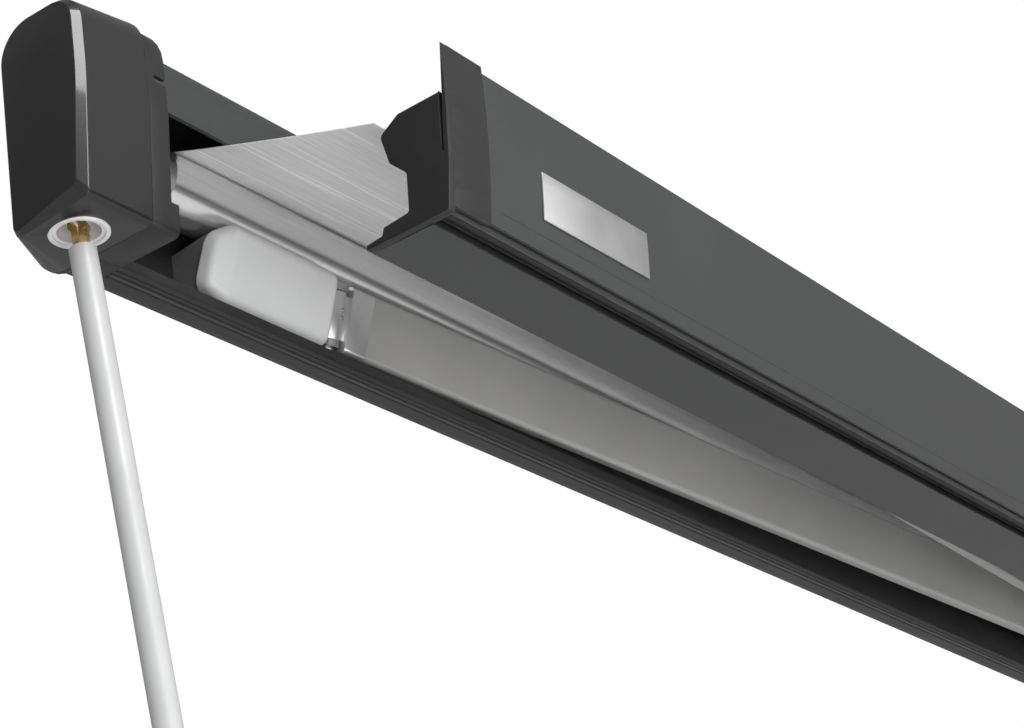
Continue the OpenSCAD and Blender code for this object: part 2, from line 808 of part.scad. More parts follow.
rail_cap_outline =
    concat(panel_front(130.6, 21, strip_proud, 8),
           rounded([[-cap_depth + 12, 18.2, 1], [plate_back, plate_low, 0.5],
                    [plate_back, 20.9, 1], [-47, 22.3, 1], [-48.6, 27.1, 1], [-68.4, 29.2, 2],
                    [-70.9, 55.4, 3], [-59.7, 67.1, 3], [-55.7, 87.8, 4], [-70.7, 97, 3],
                    [-102.2, 97.6, 1], [-cap_depth + 2.8, 131.7, 0.8]], 4));

module rail_end_cap(right)
    color(black) in_place() rail_out() far_end(right) {
        along(rail_inset, rail_start) polygon(rail_cap_outline);
        along(rail_start, panel_start) panel_strip(131, 22.5, strip_proud);
    }

module rail_bead()
    color(black) in_place() rail_out() along(rail_start, case_length - rail_start)
        translate(groove) circle(r = bead_radius, $fn = 32);

name_plate_x = 210;
name_plate_mid = 62.5;
plate_thick = 1.2;

module name_plate()
    color(bright) in_place() rail_out()
        along(name_plate_x, name_plate_x + plate_width)
            polygon(wall_along(panel_front(name_plate_mid + plate_height / 2,
                                           name_plate_mid - plate_height / 2,
                                           plate_thick + running, 4), plate_thick));

module hand_bracket(right)
    color(bright) in_place() rail_out() far_end(right) difference() {
        intersection() {
            leaning() {
                for (z = [[outer_low, hand_low - ear_gap], [hand_high + ear_gap, outer_high]])
                    translate([0, 0, z[0]]) linear_extrude(z[1] - z[0])
                        translate([shoulder_inset, hand_across]) {
                            circle(r = hand_radius, $fn = 48);
                            translate([-hand_radius, -34]) square([2 * hand_radius, 34]);
                        }
                translate([shoulder_inset - 18, hand_across - 44, outer_low - 6])
                    cube([36, 34, outer_arm_high + 12]);
            }
            along(shoulder_inset - 20, shoulder_inset + 20)
                translate([web_y + 2, plate_low + 1.5]) square([-web_y - 2, 53]);
        }
        leaning() translate([shoulder_inset, hand_across, 20])
            cylinder(r = small_pin_radius, h = 80, $fn = 48);
    }

module hand_pins()
    color(steel) in_place() rail_out() for (right = [false, true]) far_end(right)
        leaning() translate([shoulder_inset, hand_across, 0])
            post(small_pin_radius, outer_low, outer_high);

// CANOPY, at rest

keder_out = [keder.x - opening * cos(lean), keder.y + 6.5 - opening * sin(lean)];
roller_axis = [-roller_back, roller_rise];
to_keder = keder_out - roller_axis;
sheet_slope = atan2(-to_keder.y, -to_keder.x) + asin((roll_radius + seat) / norm(to_keder));
sheet_dir = [-cos(sheet_slope), -sin(sheet_slope)];
sheet_up = [-sin(sheet_slope), cos(sheet_slope)];
sheet_start = roller_axis + (roll_radius + seat) * sheet_up;
sheet_length = norm(keder_out - sheet_start);
hem_length = 80;
hem_overlap = 40;

module sheet(from, to, lift)
    polygon([for (p = [[from, lift], [from, lift + fabric_thickness],
                       [to, lift + fabric_thickness], [to, lift]])
             sheet_start + sheet_dir * p.x + sheet_up * p.y]);

module canopy()
    color(canvas) in_place() along(fabric_margin, case_length - fabric_margin)
        sheet(0, sheet_length - hem_overlap, 0);

module canopy_hem()
    color(canvas) in_place() along(fabric_margin, case_length - fabric_margin) {
        lift = fabric_thickness + seat;
        sheet(sheet_length - hem_length, sheet_length + 1, lift);
        translate(keder_out - [0, 6.5]) {
            circle(r = 2.5, $fn = 24);
            translate([-0.7, 0]) square([1.4, 6.5 + lift]);
        }
    }

case_profile();
hood();
gear_bracket();
plain_bracket();
gear_end_cap();
plain_end_cap();
wall_brackets();
arm_rests();
gear_frame();
eye_collar();
roller_bearings();
shoulder_bracket(false);  // shoulder_bracket_left
shoulder_bracket(true);  // shoulder_bracket_right
shoulder_cover(false);  // shoulder_cover_left
shoulder_cover(true);  // shoulder_cover_right
shoulder_pins();
roller_tube();
fabric_roll();
roller_drive_plug();
roller_idle_plug();
roller_gear();
transfer_shaft();
worm_wheel();
transfer_pinion();
gear_eye();
worm_shaft();
eye_pin();
crank_hook();
crank_rod();
crank_bend();
crank_upper_grip();
crank_lower_grip();
arm_knuckle(false);  // arm_knuckle_left
inner_arm(false);  // inner_arm_left
arm_spring(false);  // arm_spring_left
elbow_fork(false);  // elbow_fork_left
elbow_pin(false);  // elbow_pin_left
elbow_tongue(false);  // elbow_tongue_left
outer_arm(false);  // outer_arm_left
hand_knuckle(false);  // hand_knuckle_left
arm_knuckle(true);  // arm_knuckle_right
inner_arm(true);  // inner_arm_right
arm_spring(true);  // arm_spring_right
elbow_fork(true);  // elbow_fork_right
elbow_pin(true);  // elbow_pin_right
elbow_tongue(true);  // elbow_tongue_right
outer_arm(true);  // outer_arm_right
hand_knuckle(true);  // hand_knuckle_right
lead_rail();
rail_end_cap(false);  // rail_end_cap_left
rail_end_cap(true);  // rail_end_cap_right
rail_bead();
name_plate();
hand_bracket(false);  // hand_bracket_left
hand_bracket(true);  // hand_bracket_right
hand_pins();
canopy_hem();
canopy();
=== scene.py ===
"""Roll out awning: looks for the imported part, in its own frame and in metres.

x runs along the awning, y into the wall and z up. The arms and the canopy work in a plane that
leans outwards and down by LEAN degrees.
"""

from __future__ import annotations

import json
import logging
import math
from collections.abc import Callable, Iterable, Sequence
from dataclasses import dataclass, field
from enum import Enum
from typing import Any

import bmesh
import bpy
import numpy as np
from mathutils import Matrix, Vector

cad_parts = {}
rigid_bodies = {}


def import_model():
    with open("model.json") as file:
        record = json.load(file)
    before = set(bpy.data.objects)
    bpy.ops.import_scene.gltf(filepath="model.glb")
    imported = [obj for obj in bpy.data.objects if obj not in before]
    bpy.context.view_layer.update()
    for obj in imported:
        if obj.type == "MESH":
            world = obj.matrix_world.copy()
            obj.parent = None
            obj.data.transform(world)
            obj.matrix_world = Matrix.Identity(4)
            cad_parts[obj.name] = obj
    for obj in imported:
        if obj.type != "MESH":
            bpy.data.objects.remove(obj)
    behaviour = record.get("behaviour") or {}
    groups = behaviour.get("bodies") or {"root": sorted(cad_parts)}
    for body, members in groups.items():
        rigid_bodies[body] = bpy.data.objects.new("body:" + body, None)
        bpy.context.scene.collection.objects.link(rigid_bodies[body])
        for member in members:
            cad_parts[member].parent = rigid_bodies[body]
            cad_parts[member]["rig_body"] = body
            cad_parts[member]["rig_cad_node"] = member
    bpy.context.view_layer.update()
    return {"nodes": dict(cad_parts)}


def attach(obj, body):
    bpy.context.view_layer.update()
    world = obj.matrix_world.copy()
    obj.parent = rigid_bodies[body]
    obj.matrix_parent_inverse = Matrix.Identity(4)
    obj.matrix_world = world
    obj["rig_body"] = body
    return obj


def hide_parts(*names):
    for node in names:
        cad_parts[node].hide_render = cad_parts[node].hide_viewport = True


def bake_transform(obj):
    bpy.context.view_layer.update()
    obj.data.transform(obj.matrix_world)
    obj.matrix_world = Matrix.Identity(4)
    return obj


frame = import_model()

LOG = logging.getLogger("awning")

MM = 0.001
LENGTH = 3500.0
HOLE_RISE = 55.0
LEAN = 21.15
LEAN_COS, LEAN_SIN = math.cos(math.radians(LEAN)), math.sin(math.radians(LEAN))
OPENING = 204.0

# angles in degrees: edges sharper than the first are rounded, flatter ones are dissolved
SHARP = 34.0
FLAT = 0.6
# metres within which points are merged, in the script's own meshes and in copies of CAD nodes
MERGE = 1e-7
NODE_MERGE = 2e-6

Point = tuple[float, float, float]
Colour = tuple[float, float, float, float]


def place(x: float, y: float, z: float) -> Point:
    """Turns case millimetres into the row frame's metres.

    Args:
        x: distance from the gear end of the case.
        y: distance into the wall.
        z: height above the case bottom.

    Returns:
        The point in the row frame.
    """
    return ((x - LENGTH / 2) * MM, y * MM, (z - HOLE_RISE) * MM)


def lean_place(x: float, across: float, up: float) -> Point:
    """Turns a point of the leaning arm plane into the row frame's metres.

    Args:
        x: distance from the gear end of the case.
        across: distance along the slope, measured like y.
        up: distance square to the slope.

    Returns:
        The point in the row frame.
    """
    return place(x, across * LEAN_COS - up * LEAN_SIN, across * LEAN_SIN + up * LEAN_COS)


def mirrored(point: Point) -> Point:
    """The twin of a point at the far end of the awning."""
    return (-point[0], point[1], point[2])


def rounded(corners: Sequence[tuple[float, float, float]], steps: int = 8) -> np.ndarray:
    """Rounds the corners of a closed outline.

    Args:
        corners: (first, second, radius) of each corner, anticlockwise.
        steps: pieces in each corner's arc.

    Returns:
        The outline's points, one row each.
    """
    found: list[np.ndarray] = []
    count = len(corners)
    for i, (a, b, radius) in enumerate(corners):
        p = np.array([a, b], float)
        before = np.array(corners[i - 1][:2], float) - p
        after = np.array(corners[(i + 1) % count][:2], float) - p
        u, w = before / np.linalg.norm(before), after / np.linalg.norm(after)
        half = math.acos(float(np.clip(u @ w, -1, 1))) / 2
        middle = p + (u + w) / np.linalg.norm(u + w) * radius / math.sin(half)
        start = p + u * radius / math.tan(half) - middle
        turn = -math.copysign(math.pi - 2 * half, u[0] * w[1] - u[1] * w[0])
        for k in range(steps + 1):
            c, s = math.cos(turn * k / steps), math.sin(turn * k / steps)
            found.append(middle + [start[0] * c - start[1] * s, start[0] * s + start[1] * c])
    return np.array(found)


def drawn_in(outline: np.ndarray, amount: float) -> np.ndarray:
    """Moves a closed anticlockwise outline inwards.

    Args:
        outline: the outline's points.
        amount: the distance, which may be negative.

    Returns:
        As many points as the outline has.
    """
    ahead = np.roll(outline, -1, 0) - outline
    ahead /= np.maximum(np.linalg.norm(ahead, axis=1, keepdims=True), 1e-9)
    behind = np.roll(ahead, 1, 0)
    n, m = np.stack([-ahead[:, 1], ahead[:, 0]], 1), np.stack([-behind[:, 1], behind[:, 0]], 1)
    return outline + (n + m) * amount / (1 + (n * m).sum(1, keepdims=True))


# MATERIALS


class Slot(Enum):
    """The record's material slots."""

    CHARCOAL_COAT = "charcoal_coat"
    BLACK_PLASTIC = "black_plastic"
    CHARCOAL_PLASTIC = "charcoal_plastic"
    WHITE_PLASTIC = "white_plastic"
    WHITE_COAT = "white_coat"
    ANODISED = "anodised"
    BRIGHT_METAL = "bright_metal"
    STEEL = "steel"
    BRASS = "brass"
    CANVAS = "canvas"
    GRIP_PLASTIC = "grip_plastic"
    RUBBER = "rubber"


@dataclass
class Graph:
    """Adds nodes to a node tree and wires them by socket name."""

    tree: bpy.types.NodeTree

    def add(self, kind: str, inputs: dict[Any, Any] | None = None,
            **settings: Any) -> bpy.types.Node:
        """Adds a node.

        Args:
            kind: the node's type name.
            inputs: values or output sockets by input name or number.
            settings: the node's own properties.

        Returns:
            The new node.
        """
        node = self.tree.nodes.new(kind)
        for key, value in settings.items():
            setattr(node, key, value)
        for key, value in (inputs or {}).items():
            if isinstance(value, bpy.types.NodeSocket):
                self.tree.links.new(value, node.inputs[key])
            else:
                node.inputs[key].default_value = value
        return node

    def maths(self, operation: str, a: Any, b: Any = 0.0) -> bpy.types.NodeSocket:
        """Adds a Math node and returns its output."""
        return self.add("ShaderNodeMath", {0: a, 1: b}, operation=operation).outputs[0]

    def between(self, value: Any, low: float, high: float, to_low: float = 0.0,
                to_high: float = 1.0) -> bpy.types.NodeSocket:
        """Adds a clamped Map Range node and returns its output."""
        inputs = {0: value, 1: low, 2: high, 3: to_low, 4: to_high}
        return self.add("ShaderNodeMapRange", inputs).outputs[0]

    def spot(self) -> bpy.types.NodeSocket:
        """Adds the object coordinates and returns them."""
        return self.add("ShaderNodeTexCoord").outputs["Object"]

    def noise(self, spot: Any, scale: Any, detail: float,
              rough: float = 0.5) -> bpy.types.NodeSocket:
        """Adds a Noise Texture node and returns its factor."""
        return self.add("ShaderNodeTexNoise", {"Vector": spot, "Scale": scale, "Detail": detail,
                                               "Roughness": rough}).outputs[0]

    def dot(self, a: Any, b: Any) -> bpy.types.NodeSocket:
        """Adds a dot product node and returns its value."""
        return self.add("ShaderNodeVectorMath", {0: a, 1: b},
                        operation="DOT_PRODUCT").outputs["Value"]

    def mix(self, share: Any, a: Any, b: Any) -> bpy.types.NodeSocket:
        """Adds a colour Mix node and returns its result."""
        return self.add("ShaderNodeMix", {"Factor": share, 6: a, 7: b}, data_type="RGBA").outputs[2]

    def shape_on(self, points: Any, source: bpy.types.NodeSocket,
                 **turn: Any) -> bpy.types.NodeSocket:
        """Sets a copy of an object on each point.

        Args:
            points: the geometry whose points are used.
            source: the socket that names the object.
            turn: the copies' Rotation, where they are turned.

        Returns:
            The instances.
        """
        shape = self.add("GeometryNodeObjectInfo", {"Object": source})
        return self.add("GeometryNodeInstanceOnPoints", {
            "Points": points, "Instance": shape.outputs["Geometry"], **turn}).outputs[0]


@dataclass
class Effects:
    """Shader node groups that several finishes share, each built once."""

    made: dict[str, bpy.types.NodeTree] = field(default_factory=dict)

    def group(self, name: str, inputs: dict[str, float], outputs: Sequence[str],
              build: Callable[[Graph, bpy.types.Node], dict[str, Any]]) -> bpy.types.NodeTree:
        """Builds a group the first time that it is asked for.

        Args:
            name: the group's name.
            inputs: its float inputs with their first values.
            outputs: its float outputs.
            build: fills the group and returns a socket for each output.

        Returns:
            The group's node tree.
        """
        if name in self.made:
            return self.made[name]
        tree = bpy.data.node_groups.new(name, "ShaderNodeTree")
        for key, value in inputs.items():
            socket = tree.interface.new_socket(key, in_out="INPUT", socket_type="NodeSocketFloat")
            socket.default_value = value
        for key in outputs:
            tree.interface.new_socket(key, in_out="OUTPUT", socket_type="NodeSocketFloat")
        graph = Graph(tree)
        entry = graph.add("NodeGroupInput")
        graph.add("NodeGroupOutput", build(graph, entry))
        self.made[name] = tree
        return tree

    def grain(self) -> bpy.types.NodeTree:
        """Fine pebbled grain of a coat or a moulding."""
        def build(g: Graph, entry: bpy.types.Node) -> dict[str, Any]:
            """Adds a fine and a coarse noise together.

            Args:
                g: the group's graph.
                entry: its input node.

            Returns:
                The height and a mask of its peaks.
            """
            spot, scale = g.spot(), entry.outputs["Scale"]
            fine = g.noise(spot, scale, 2.0)
            coarse = g.noise(spot, g.maths("MULTIPLY", scale, 0.31), 1.0)
            both = g.maths("ADD", fine, g.maths("MULTIPLY", coarse, 0.6))
            return {"Height": both, "Mask": g.between(both, 0.62, 1.0)}
        return self.group("fine grain", {"Scale": 1500.0}, ("Height", "Mask"), build)

    def handling(self) -> bpy.types.NodeTree:
        """Large soft patches, as handling and dust leave them."""
        def build(g: Graph, entry: bpy.types.Node) -> dict[str, Any]:
            """Makes the patches from one noise."""
            patches = g.noise(g.spot(), entry.outputs["Scale"], 5.0, 0.6)
            return {"Mask": g.between(patches, 0.36, 0.66)}
        return self.group("handling", {"Scale": 7.0}, ("Mask",), build)

    def drawn(self) -> bpy.types.NodeTree:
        """Lines that the die leaves along an extrusion."""
        def build(g: Graph, entry: bpy.types.Node) -> dict[str, Any]:
            """Makes the lines from a noise that is stretched along the awning.

            Args:
                g: the group's graph.
                entry: its input node.

            Returns:
                The lines' mask.
            """
            long = g.add("ShaderNodeMapping", {"Vector": g.spot(), "Scale": (0.012, 1.0, 1.0)})
            lines = g.noise(long.outputs[0], entry.outputs["Scale"], 3.0)
            return {"Mask": g.between(lines, 0.3, 0.7)}
        return self.group("drawn lines", {"Scale": 400.0}, ("Mask",), build)

    def wear(self) -> bpy.types.NodeTree:
        """Edges, where a coat thins and polishes."""
        def build(g: Graph, entry: bpy.types.Node) -> dict[str, Any]:
            """Finds the edges where a rounded normal differs from the true one.

            Args:
                g: the group's graph.
                entry: its input node.

            Returns:
                The edges' mask, broken up by a noise.
            """
            soft = g.add("ShaderNodeBevel", {"Radius": entry.outputs["Radius"]}, samples=4)
            true = g.add("ShaderNodeNewGeometry").outputs["Normal"]
            broken = g.noise(g.spot(), 90.0, 4.0)
            edge = g.between(g.dot(soft.outputs[0], true), 0.97, 0.80)
            return {"Mask": g.maths("MULTIPLY", edge, g.between(broken, 0.4, 0.62))}
        return self.group("edge wear", {"Radius": 0.0012}, ("Mask",), build)

    def streaks(self) -> bpy.types.NodeTree:
        """Printed pale lines along a canopy and the weave under its coating."""
        def build(g: Graph, entry: bpy.types.Node) -> dict[str, Any]:
            """Makes broad and hair-thin lines along the awning, and a weave of two waves.

            Args:
                g: the group's graph.
                entry: its input node.

            Returns:
                The lines' mask and the weave's height.
            """
            spot = g.spot()
            long = g.add("ShaderNodeMapping", {"Vector": spot, "Scale": (0.022, 1.0, 1.0)})
            wide = g.noise(long.outputs[0], 230.0, 2.0, 0.55)
            thin = g.noise(long.outputs[0], 700.0, 3.0, 0.7)
            broad = g.maths("MULTIPLY", g.between(wide, 0.56, 0.66), 0.75)
            hairs = g.maths("MULTIPLY", g.between(thin, 0.48, 0.68), 0.45)
            warp, weft = (g.add("ShaderNodeTexWave", {
                "Vector": spot, "Scale": entry.outputs["Threads"]}, wave_type="BANDS",
                bands_direction=way).outputs["Fac"] for way in ("X", "Y"))
            return {"Mask": g.maths("MAXIMUM", broad, hairs),
                    "Weave": g.maths("MULTIPLY", warp, weft)}
        return self.group("canopy print", {"Threads": 240.0}, ("Mask", "Weave"), build)


EFFECTS = Effects()


@dataclass(frozen=True)
class Finish:
    """A surface: its two colours, its gloss and the detail that a near look shows."""

    name: str
    slot: Slot
    colour: Colour
    second: Colour
    rough: tuple[float, float]
    metallic: float = 0.0
    specular: float = 0.5
    coat: float = 0.0
    coat_rough: float = 0.1
    grain: float = 1500.0
    grain_depth: float = 0.00004
    lines: float = 0.0
    patch: float = 7.0
    worn: Colour | None = None
    wear_radius: float = 0.0010

    def tint(self, g: Graph, mask: Any) -> Any:
        """The base colour, mixed from the two colours by the patches.

        Args:
            g: the material's graph.
            mask: the patches' mask.

        Returns:
            The socket that feeds Base Color.
        """
        return g.mix(mask, self.colour, self.second)

    def relief(self, g: Graph) -> Any:
        """The bump height of the grain, with the drawn lines where the finish has them.

        Args:
            g: the material's graph.

        Returns:
            The socket that feeds the Bump node's Height.
        """
        grain = g.add("ShaderNodeGroup", {"Scale": self.grain}, node_tree=EFFECTS.grain())
        if not self.lines:
            return grain.outputs["Height"]
        lines = g.add("ShaderNodeGroup", node_tree=EFFECTS.drawn())
        return g.maths("ADD", grain.outputs["Height"],
                       g.maths("MULTIPLY", lines.outputs["Mask"], self.lines))

    def material(self) -> bpy.types.Material:
        """Makes the finish's material the first time that it is asked for.

        Returns:
            The Blender material.
        """
        found = bpy.data.materials.get(self.name)
        if found is not None:
            return found
        made = bpy.data.materials.new(self.name)
        made.use_nodes = True
        made.node_tree.nodes.clear()
        g = Graph(made.node_tree)
        mask = g.add("ShaderNodeGroup", {"Scale": self.patch},
                     node_tree=EFFECTS.handling()).outputs["Mask"]
        colour = self.tint(g, mask)
        if self.worn is not None:
            wear = g.add("ShaderNodeGroup", {"Radius": self.wear_radius},
                         node_tree=EFFECTS.wear())
            colour = g.mix(wear.outputs["Mask"], colour, self.worn)
        bump = g.add("ShaderNodeBump", {"Strength": 1.0, "Distance": self.grain_depth,
                                        "Height": self.relief(g)})
        shader = g.add("ShaderNodeBsdfPrincipled", {
            "Base Color": colour, "Metallic": self.metallic,
            "Roughness": g.between(mask, 0.0, 1.0, *self.rough),
            "Specular IOR Level": self.specular, "Coat Weight": self.coat,
            "Coat Roughness": self.coat_rough, "Normal": bump.outputs[0]})
        g.add("ShaderNodeOutputMaterial", {"Surface": shader.outputs[0]})
        return made


@dataclass(frozen=True)
class CanopyFinish(Finish):
    """Coated fabric with pale printed lines along the awning."""

    pale: Colour = (0.78, 0.78, 0.78, 1.0)
    weave: float = 0.35

    def tint(self, g: Graph, mask: Any) -> Any:
        """The cloth's colour with its printed lines."""
        printed = g.add("ShaderNodeGroup", node_tree=EFFECTS.streaks())
        return g.mix(printed.outputs["Mask"], g.mix(mask, self.colour, self.second), self.pale)

    def relief(self, g: Graph) -> Any:
        """The weave's height."""
        printed = g.add("ShaderNodeGroup", node_tree=EFFECTS.streaks())
        return g.maths("MULTIPLY", printed.outputs["Weave"], self.weave)


def grey(level: float, warm: float = 0.0) -> Colour:
    """A grey of that level, a little warmer or cooler."""
    return (level * (1 + warm), level, level * (1 - warm), 1.0)


RAIL_COAT = Finish("satin charcoal powder coat", Slot.CHARCOAL_COAT, grey(0.022, -0.03),
                   grey(0.027, -0.03), (0.36, 0.43), specular=0.45, grain=2600,
                   grain_depth=0.00009, worn=grey(0.06))
CASE_COAT = Finish("dark case coat", Slot.CHARCOAL_COAT, grey(0.010), grey(0.014), (0.40, 0.50),
                   specular=0.35, grain=2200, grain_depth=0.00005, lines=0.9, worn=grey(0.035))
# painted reflection: a dark warm colour that stands for the brownish reflection under the case's
# front edge
PAINTED_REFLECTION_BAND = Finish("dark warm painted reflection band", Slot.CHARCOAL_COAT, (0.034, 0.028, 0.024, 1.0),
               (0.022, 0.019, 0.017, 1.0), (0.34, 0.44), specular=0.45, grain=2200,
               grain_depth=0.00003, lines=1.2)
CAP_PLASTIC = Finish("smooth charcoal moulding", Slot.CHARCOAL_PLASTIC, grey(0.011, -0.02),
                     grey(0.014, -0.02), (0.28, 0.34), specular=0.2, coat=0.45, coat_rough=0.05,
                     grain=900, grain_depth=0.00001, worn=grey(0.04), patch=4.0)
BLACK_PLASTIC = Finish("black moulding", Slot.BLACK_PLASTIC, grey(0.011), grey(0.015),
                       (0.34, 0.42), specular=0.3, grain=1800, grain_depth=0.00004,
                       worn=grey(0.05))
WHITE_PLASTIC = Finish("white moulding", Slot.WHITE_PLASTIC, grey(0.58, -0.004), grey(0.54, -0.004),
                       (0.40, 0.48), specular=0.45, grain=700, grain_depth=0.00001)
ROD_COAT = Finish("white rod coat", Slot.WHITE_COAT, grey(0.36, -0.004), grey(0.33, -0.004),
                  (0.32, 0.44), grain=600, grain_depth=0.00003, patch=22.0, worn=grey(0.42))
ARM_METAL = Finish("satin anodised extrusion", Slot.ANODISED, grey(0.30, 0.012),
                   grey(0.33, 0.012), (0.42, 0.50), metallic=0.35, specular=0.5, grain=3000,
                   grain_depth=0.00001, lines=0.8)
CAST_METAL = Finish("sand cast aluminium", Slot.ANODISED, grey(0.30), grey(0.37), (0.42, 0.55),
                    metallic=0.8, grain=1100, grain_depth=0.00008)
BRIGHT_METAL = Finish("polished casting", Slot.BRIGHT_METAL, grey(0.46), grey(0.54),
                      (0.26, 0.31), metallic=0.7, grain=1600, grain_depth=0.000005, patch=9.0)
RING_METAL = Finish("blasted ring", Slot.BRIGHT_METAL, grey(0.62), grey(0.74), (0.5, 0.62),
                    metallic=0.45, grain=1300, grain_depth=0.00014, patch=40.0)
PLATE_METAL = Finish("brushed plate", Slot.BRIGHT_METAL, grey(0.36), grey(0.42), (0.40, 0.48),
                     metallic=0.85, grain=2400, grain_depth=0.00002, lines=0.9, patch=14.0)
STEEL = Finish("turned steel", Slot.STEEL, grey(0.36), grey(0.45), (0.26, 0.36), metallic=1.0,
               grain=2000, grain_depth=0.00002)
BRASS = Finish("turned brass", Slot.BRASS, (0.50, 0.33, 0.13, 1.0), (0.62, 0.43, 0.19, 1.0),
               (0.24, 0.34), metallic=0.9, grain=1600, grain_depth=0.00003, patch=45.0)
GRIP = Finish("grey grip", Slot.GRIP_PLASTIC, grey(0.11), grey(0.14), (0.48, 0.58),
              grain=1500, grain_depth=0.00006)
RUBBER = Finish("matt rubber", Slot.RUBBER, grey(0.010), grey(0.015), (0.55, 0.68),
                specular=0.3, grain=1400, grain_depth=0.00005)
CANVAS = CanopyFinish("streaked canopy", Slot.CANVAS, grey(0.62), grey(0.68), (0.62, 0.72),
                      specular=0.3, grain_depth=0.0001, pale=grey(0.94))
ROLL_CANVAS = CanopyFinish("wound canopy", Slot.CANVAS, grey(0.78), grey(0.78), (0.24, 0.24),
                           metallic=0.93, grain_depth=0.00001, pale=grey(0.90))

NODE_FINISHES: dict[str, Finish] = {node: finish for finish, nodes in (
    (CASE_COAT, "case_profile"),
    (RAIL_COAT, "hood lead_rail"),
    (BLACK_PLASTIC, "gear_bracket plain_bracket roller_bearings rail_end_cap"),
    (CAP_PLASTIC, "gear_end_cap plain_end_cap"),
    (CAST_METAL, "wall_brackets arm_rests gear_frame shoulder_bracket"),
    (RING_METAL, "eye_collar gear_eye"),
    (WHITE_PLASTIC, "shoulder_cover"),
    (STEEL, "shoulder_pins roller_drive_plug roller_idle_plug roller_gear transfer_shaft "
            "transfer_pinion worm_shaft eye_pin arm_spring elbow_pin hand_pins"),
    (ARM_METAL, "roller_tube inner_arm outer_arm"),
    (BRASS, "worm_wheel crank_hook"),
    (ROD_COAT, "crank_rod crank_bend"),
    (GRIP, "crank_upper_grip crank_lower_grip"),
    (BRIGHT_METAL, "arm_knuckle elbow_fork elbow_tongue hand_knuckle hand_bracket"),
    (RUBBER, "rail_bead"),
    (PLATE_METAL, "name_plate")) for node in nodes.split()}


def stem(node: str) -> str:
    """A CAD node's name without its side, because left and right twins look alike."""
    return node.removesuffix("_left").removesuffix("_right")


# MESH TOOLS


def mesh_piece(name: str, points: Iterable[Sequence[float]], faces: Iterable[Sequence[int]],
               finish: Finish) -> bpy.types.Object:
    """Makes a smooth mesh piece at the origin.

    Args:
        name: the piece's name.
        points: its points in the row frame, in metres.
        faces: its faces, as numbers of points.
        finish: its finish.

    Returns:
        The new object.
    """
    mesh = bpy.data.meshes.new(name)
    mesh.from_pydata([tuple(p) for p in points], [], [tuple(f) for f in faces])
    work = bmesh.new()
    work.from_mesh(mesh)
    bmesh.ops.remove_doubles(work, verts=work.verts, dist=MERGE)
    bmesh.ops.recalc_face_normals(work, faces=work.faces)
    work.to_mesh(mesh)
    work.free()
    piece = bpy.data.objects.new(name, mesh)
    bpy.context.scene.collection.objects.link(piece)
    dress(piece, finish)
    return piece


def bands(rings: int, count: int) -> list[tuple[int, ...]]:
    """The faces between neighbouring rings of points.

    Args:
        rings: how many rings follow each other.
        count: the points in each ring, which is closed.

    Returns:
        Four-sided faces, ring after ring.
    """
    return [(i * count + k, i * count + (k + 1) % count, (i + 1) * count + (k + 1) % count,
             (i + 1) * count + k) for i in range(rings - 1) for k in range(count)]


def prism(name: str, section: Sequence[Sequence[float]], span: tuple[float, float],
          finish: Finish) -> bpy.types.Object:
    """A closed section run along the awning.

    Args:
        name: the piece's name.
        section: its outline, as y and z of the case in millimetres.
        span: where it starts and ends, from the gear end of the case.
        finish: its finish.

    Returns:
        The new object.
    """
    points = [place(x, p[0], p[1]) for x in span for p in section]
    count = len(section)
    ends = [tuple(range(count)), tuple(range(count, 2 * count))]
    return mesh_piece(name, points, bands(2, count) + ends, finish)


def dress(piece: bpy.types.Object, finish: Finish, crease: float = 32.0) -> None:
    """Gives a piece its finish, and smooth shading where it isn't a CAD node.

    Args:
        piece: the piece or node.
        finish: its finish.
        crease: the angle in degrees past which an edge stays sharp.
    """
    piece.data.materials.clear()
    piece.data.materials.append(finish.material())
    if "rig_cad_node" not in piece:
        piece.data.shade_smooth()
        piece.data.set_sharp_from_angle(angle=math.radians(crease))


def apply_modifiers(piece: bpy.types.Object) -> None:
    """Replaces a piece's mesh by its evaluated one and removes the modifiers.

    Args:
        piece: the piece, which keeps its name.
    """
    bpy.context.view_layer.update()
    graph = bpy.context.evaluated_depsgraph_get()
    mesh = bpy.data.meshes.new_from_object(piece.evaluated_get(graph))
    piece.modifiers.clear()
    piece.data = mesh


def stand_in(piece: bpy.types.Object, body: str, *nodes: str) -> bpy.types.Object:
    """Lets a piece ride on a body and stand for CAD nodes.

    Args:
        piece: the piece.
        body: the body that it rides on.
        nodes: the nodes that it replaces, if any.

    Returns:
        The piece.
    """
    if nodes:
        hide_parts(*nodes)
    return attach(piece, body)


def softened(node: str, finish: Finish, width: float, body: str) -> bpy.types.Object:
    """A copy of a CAD node with its edges rounded, to catch the light as a real one does.

    Args:
        node: the CAD node.
        finish: the copy's finish.
        width: the width of the rounded edges in metres.
        body: the body that it rides on.

    Returns:
        The copy, which stands for the node.
    """
    piece = bpy.data.objects.new(f"{node}_finished", frame["nodes"][node].data.copy())
    bpy.context.scene.collection.objects.link(piece)
    work = bmesh.new()
    work.from_mesh(piece.data)
    bmesh.ops.remove_doubles(work, verts=work.verts, dist=NODE_MERGE)
    bmesh.ops.dissolve_limit(work, angle_limit=math.radians(FLAT), verts=work.verts,
                             edges=work.edges)
    work.to_mesh(piece.data)
    work.free()
    bevel = piece.modifiers.new("edges", "BEVEL")
    bevel.width, bevel.segments, bevel.limit_method = width, 2, "ANGLE"
    bevel.angle_limit = math.radians(SHARP)
    bevel.use_clamp_overlap = True
    apply_modifiers(piece)
    dress(piece, finish)
    return stand_in(piece, body, node)


# GEOMETRY NODES


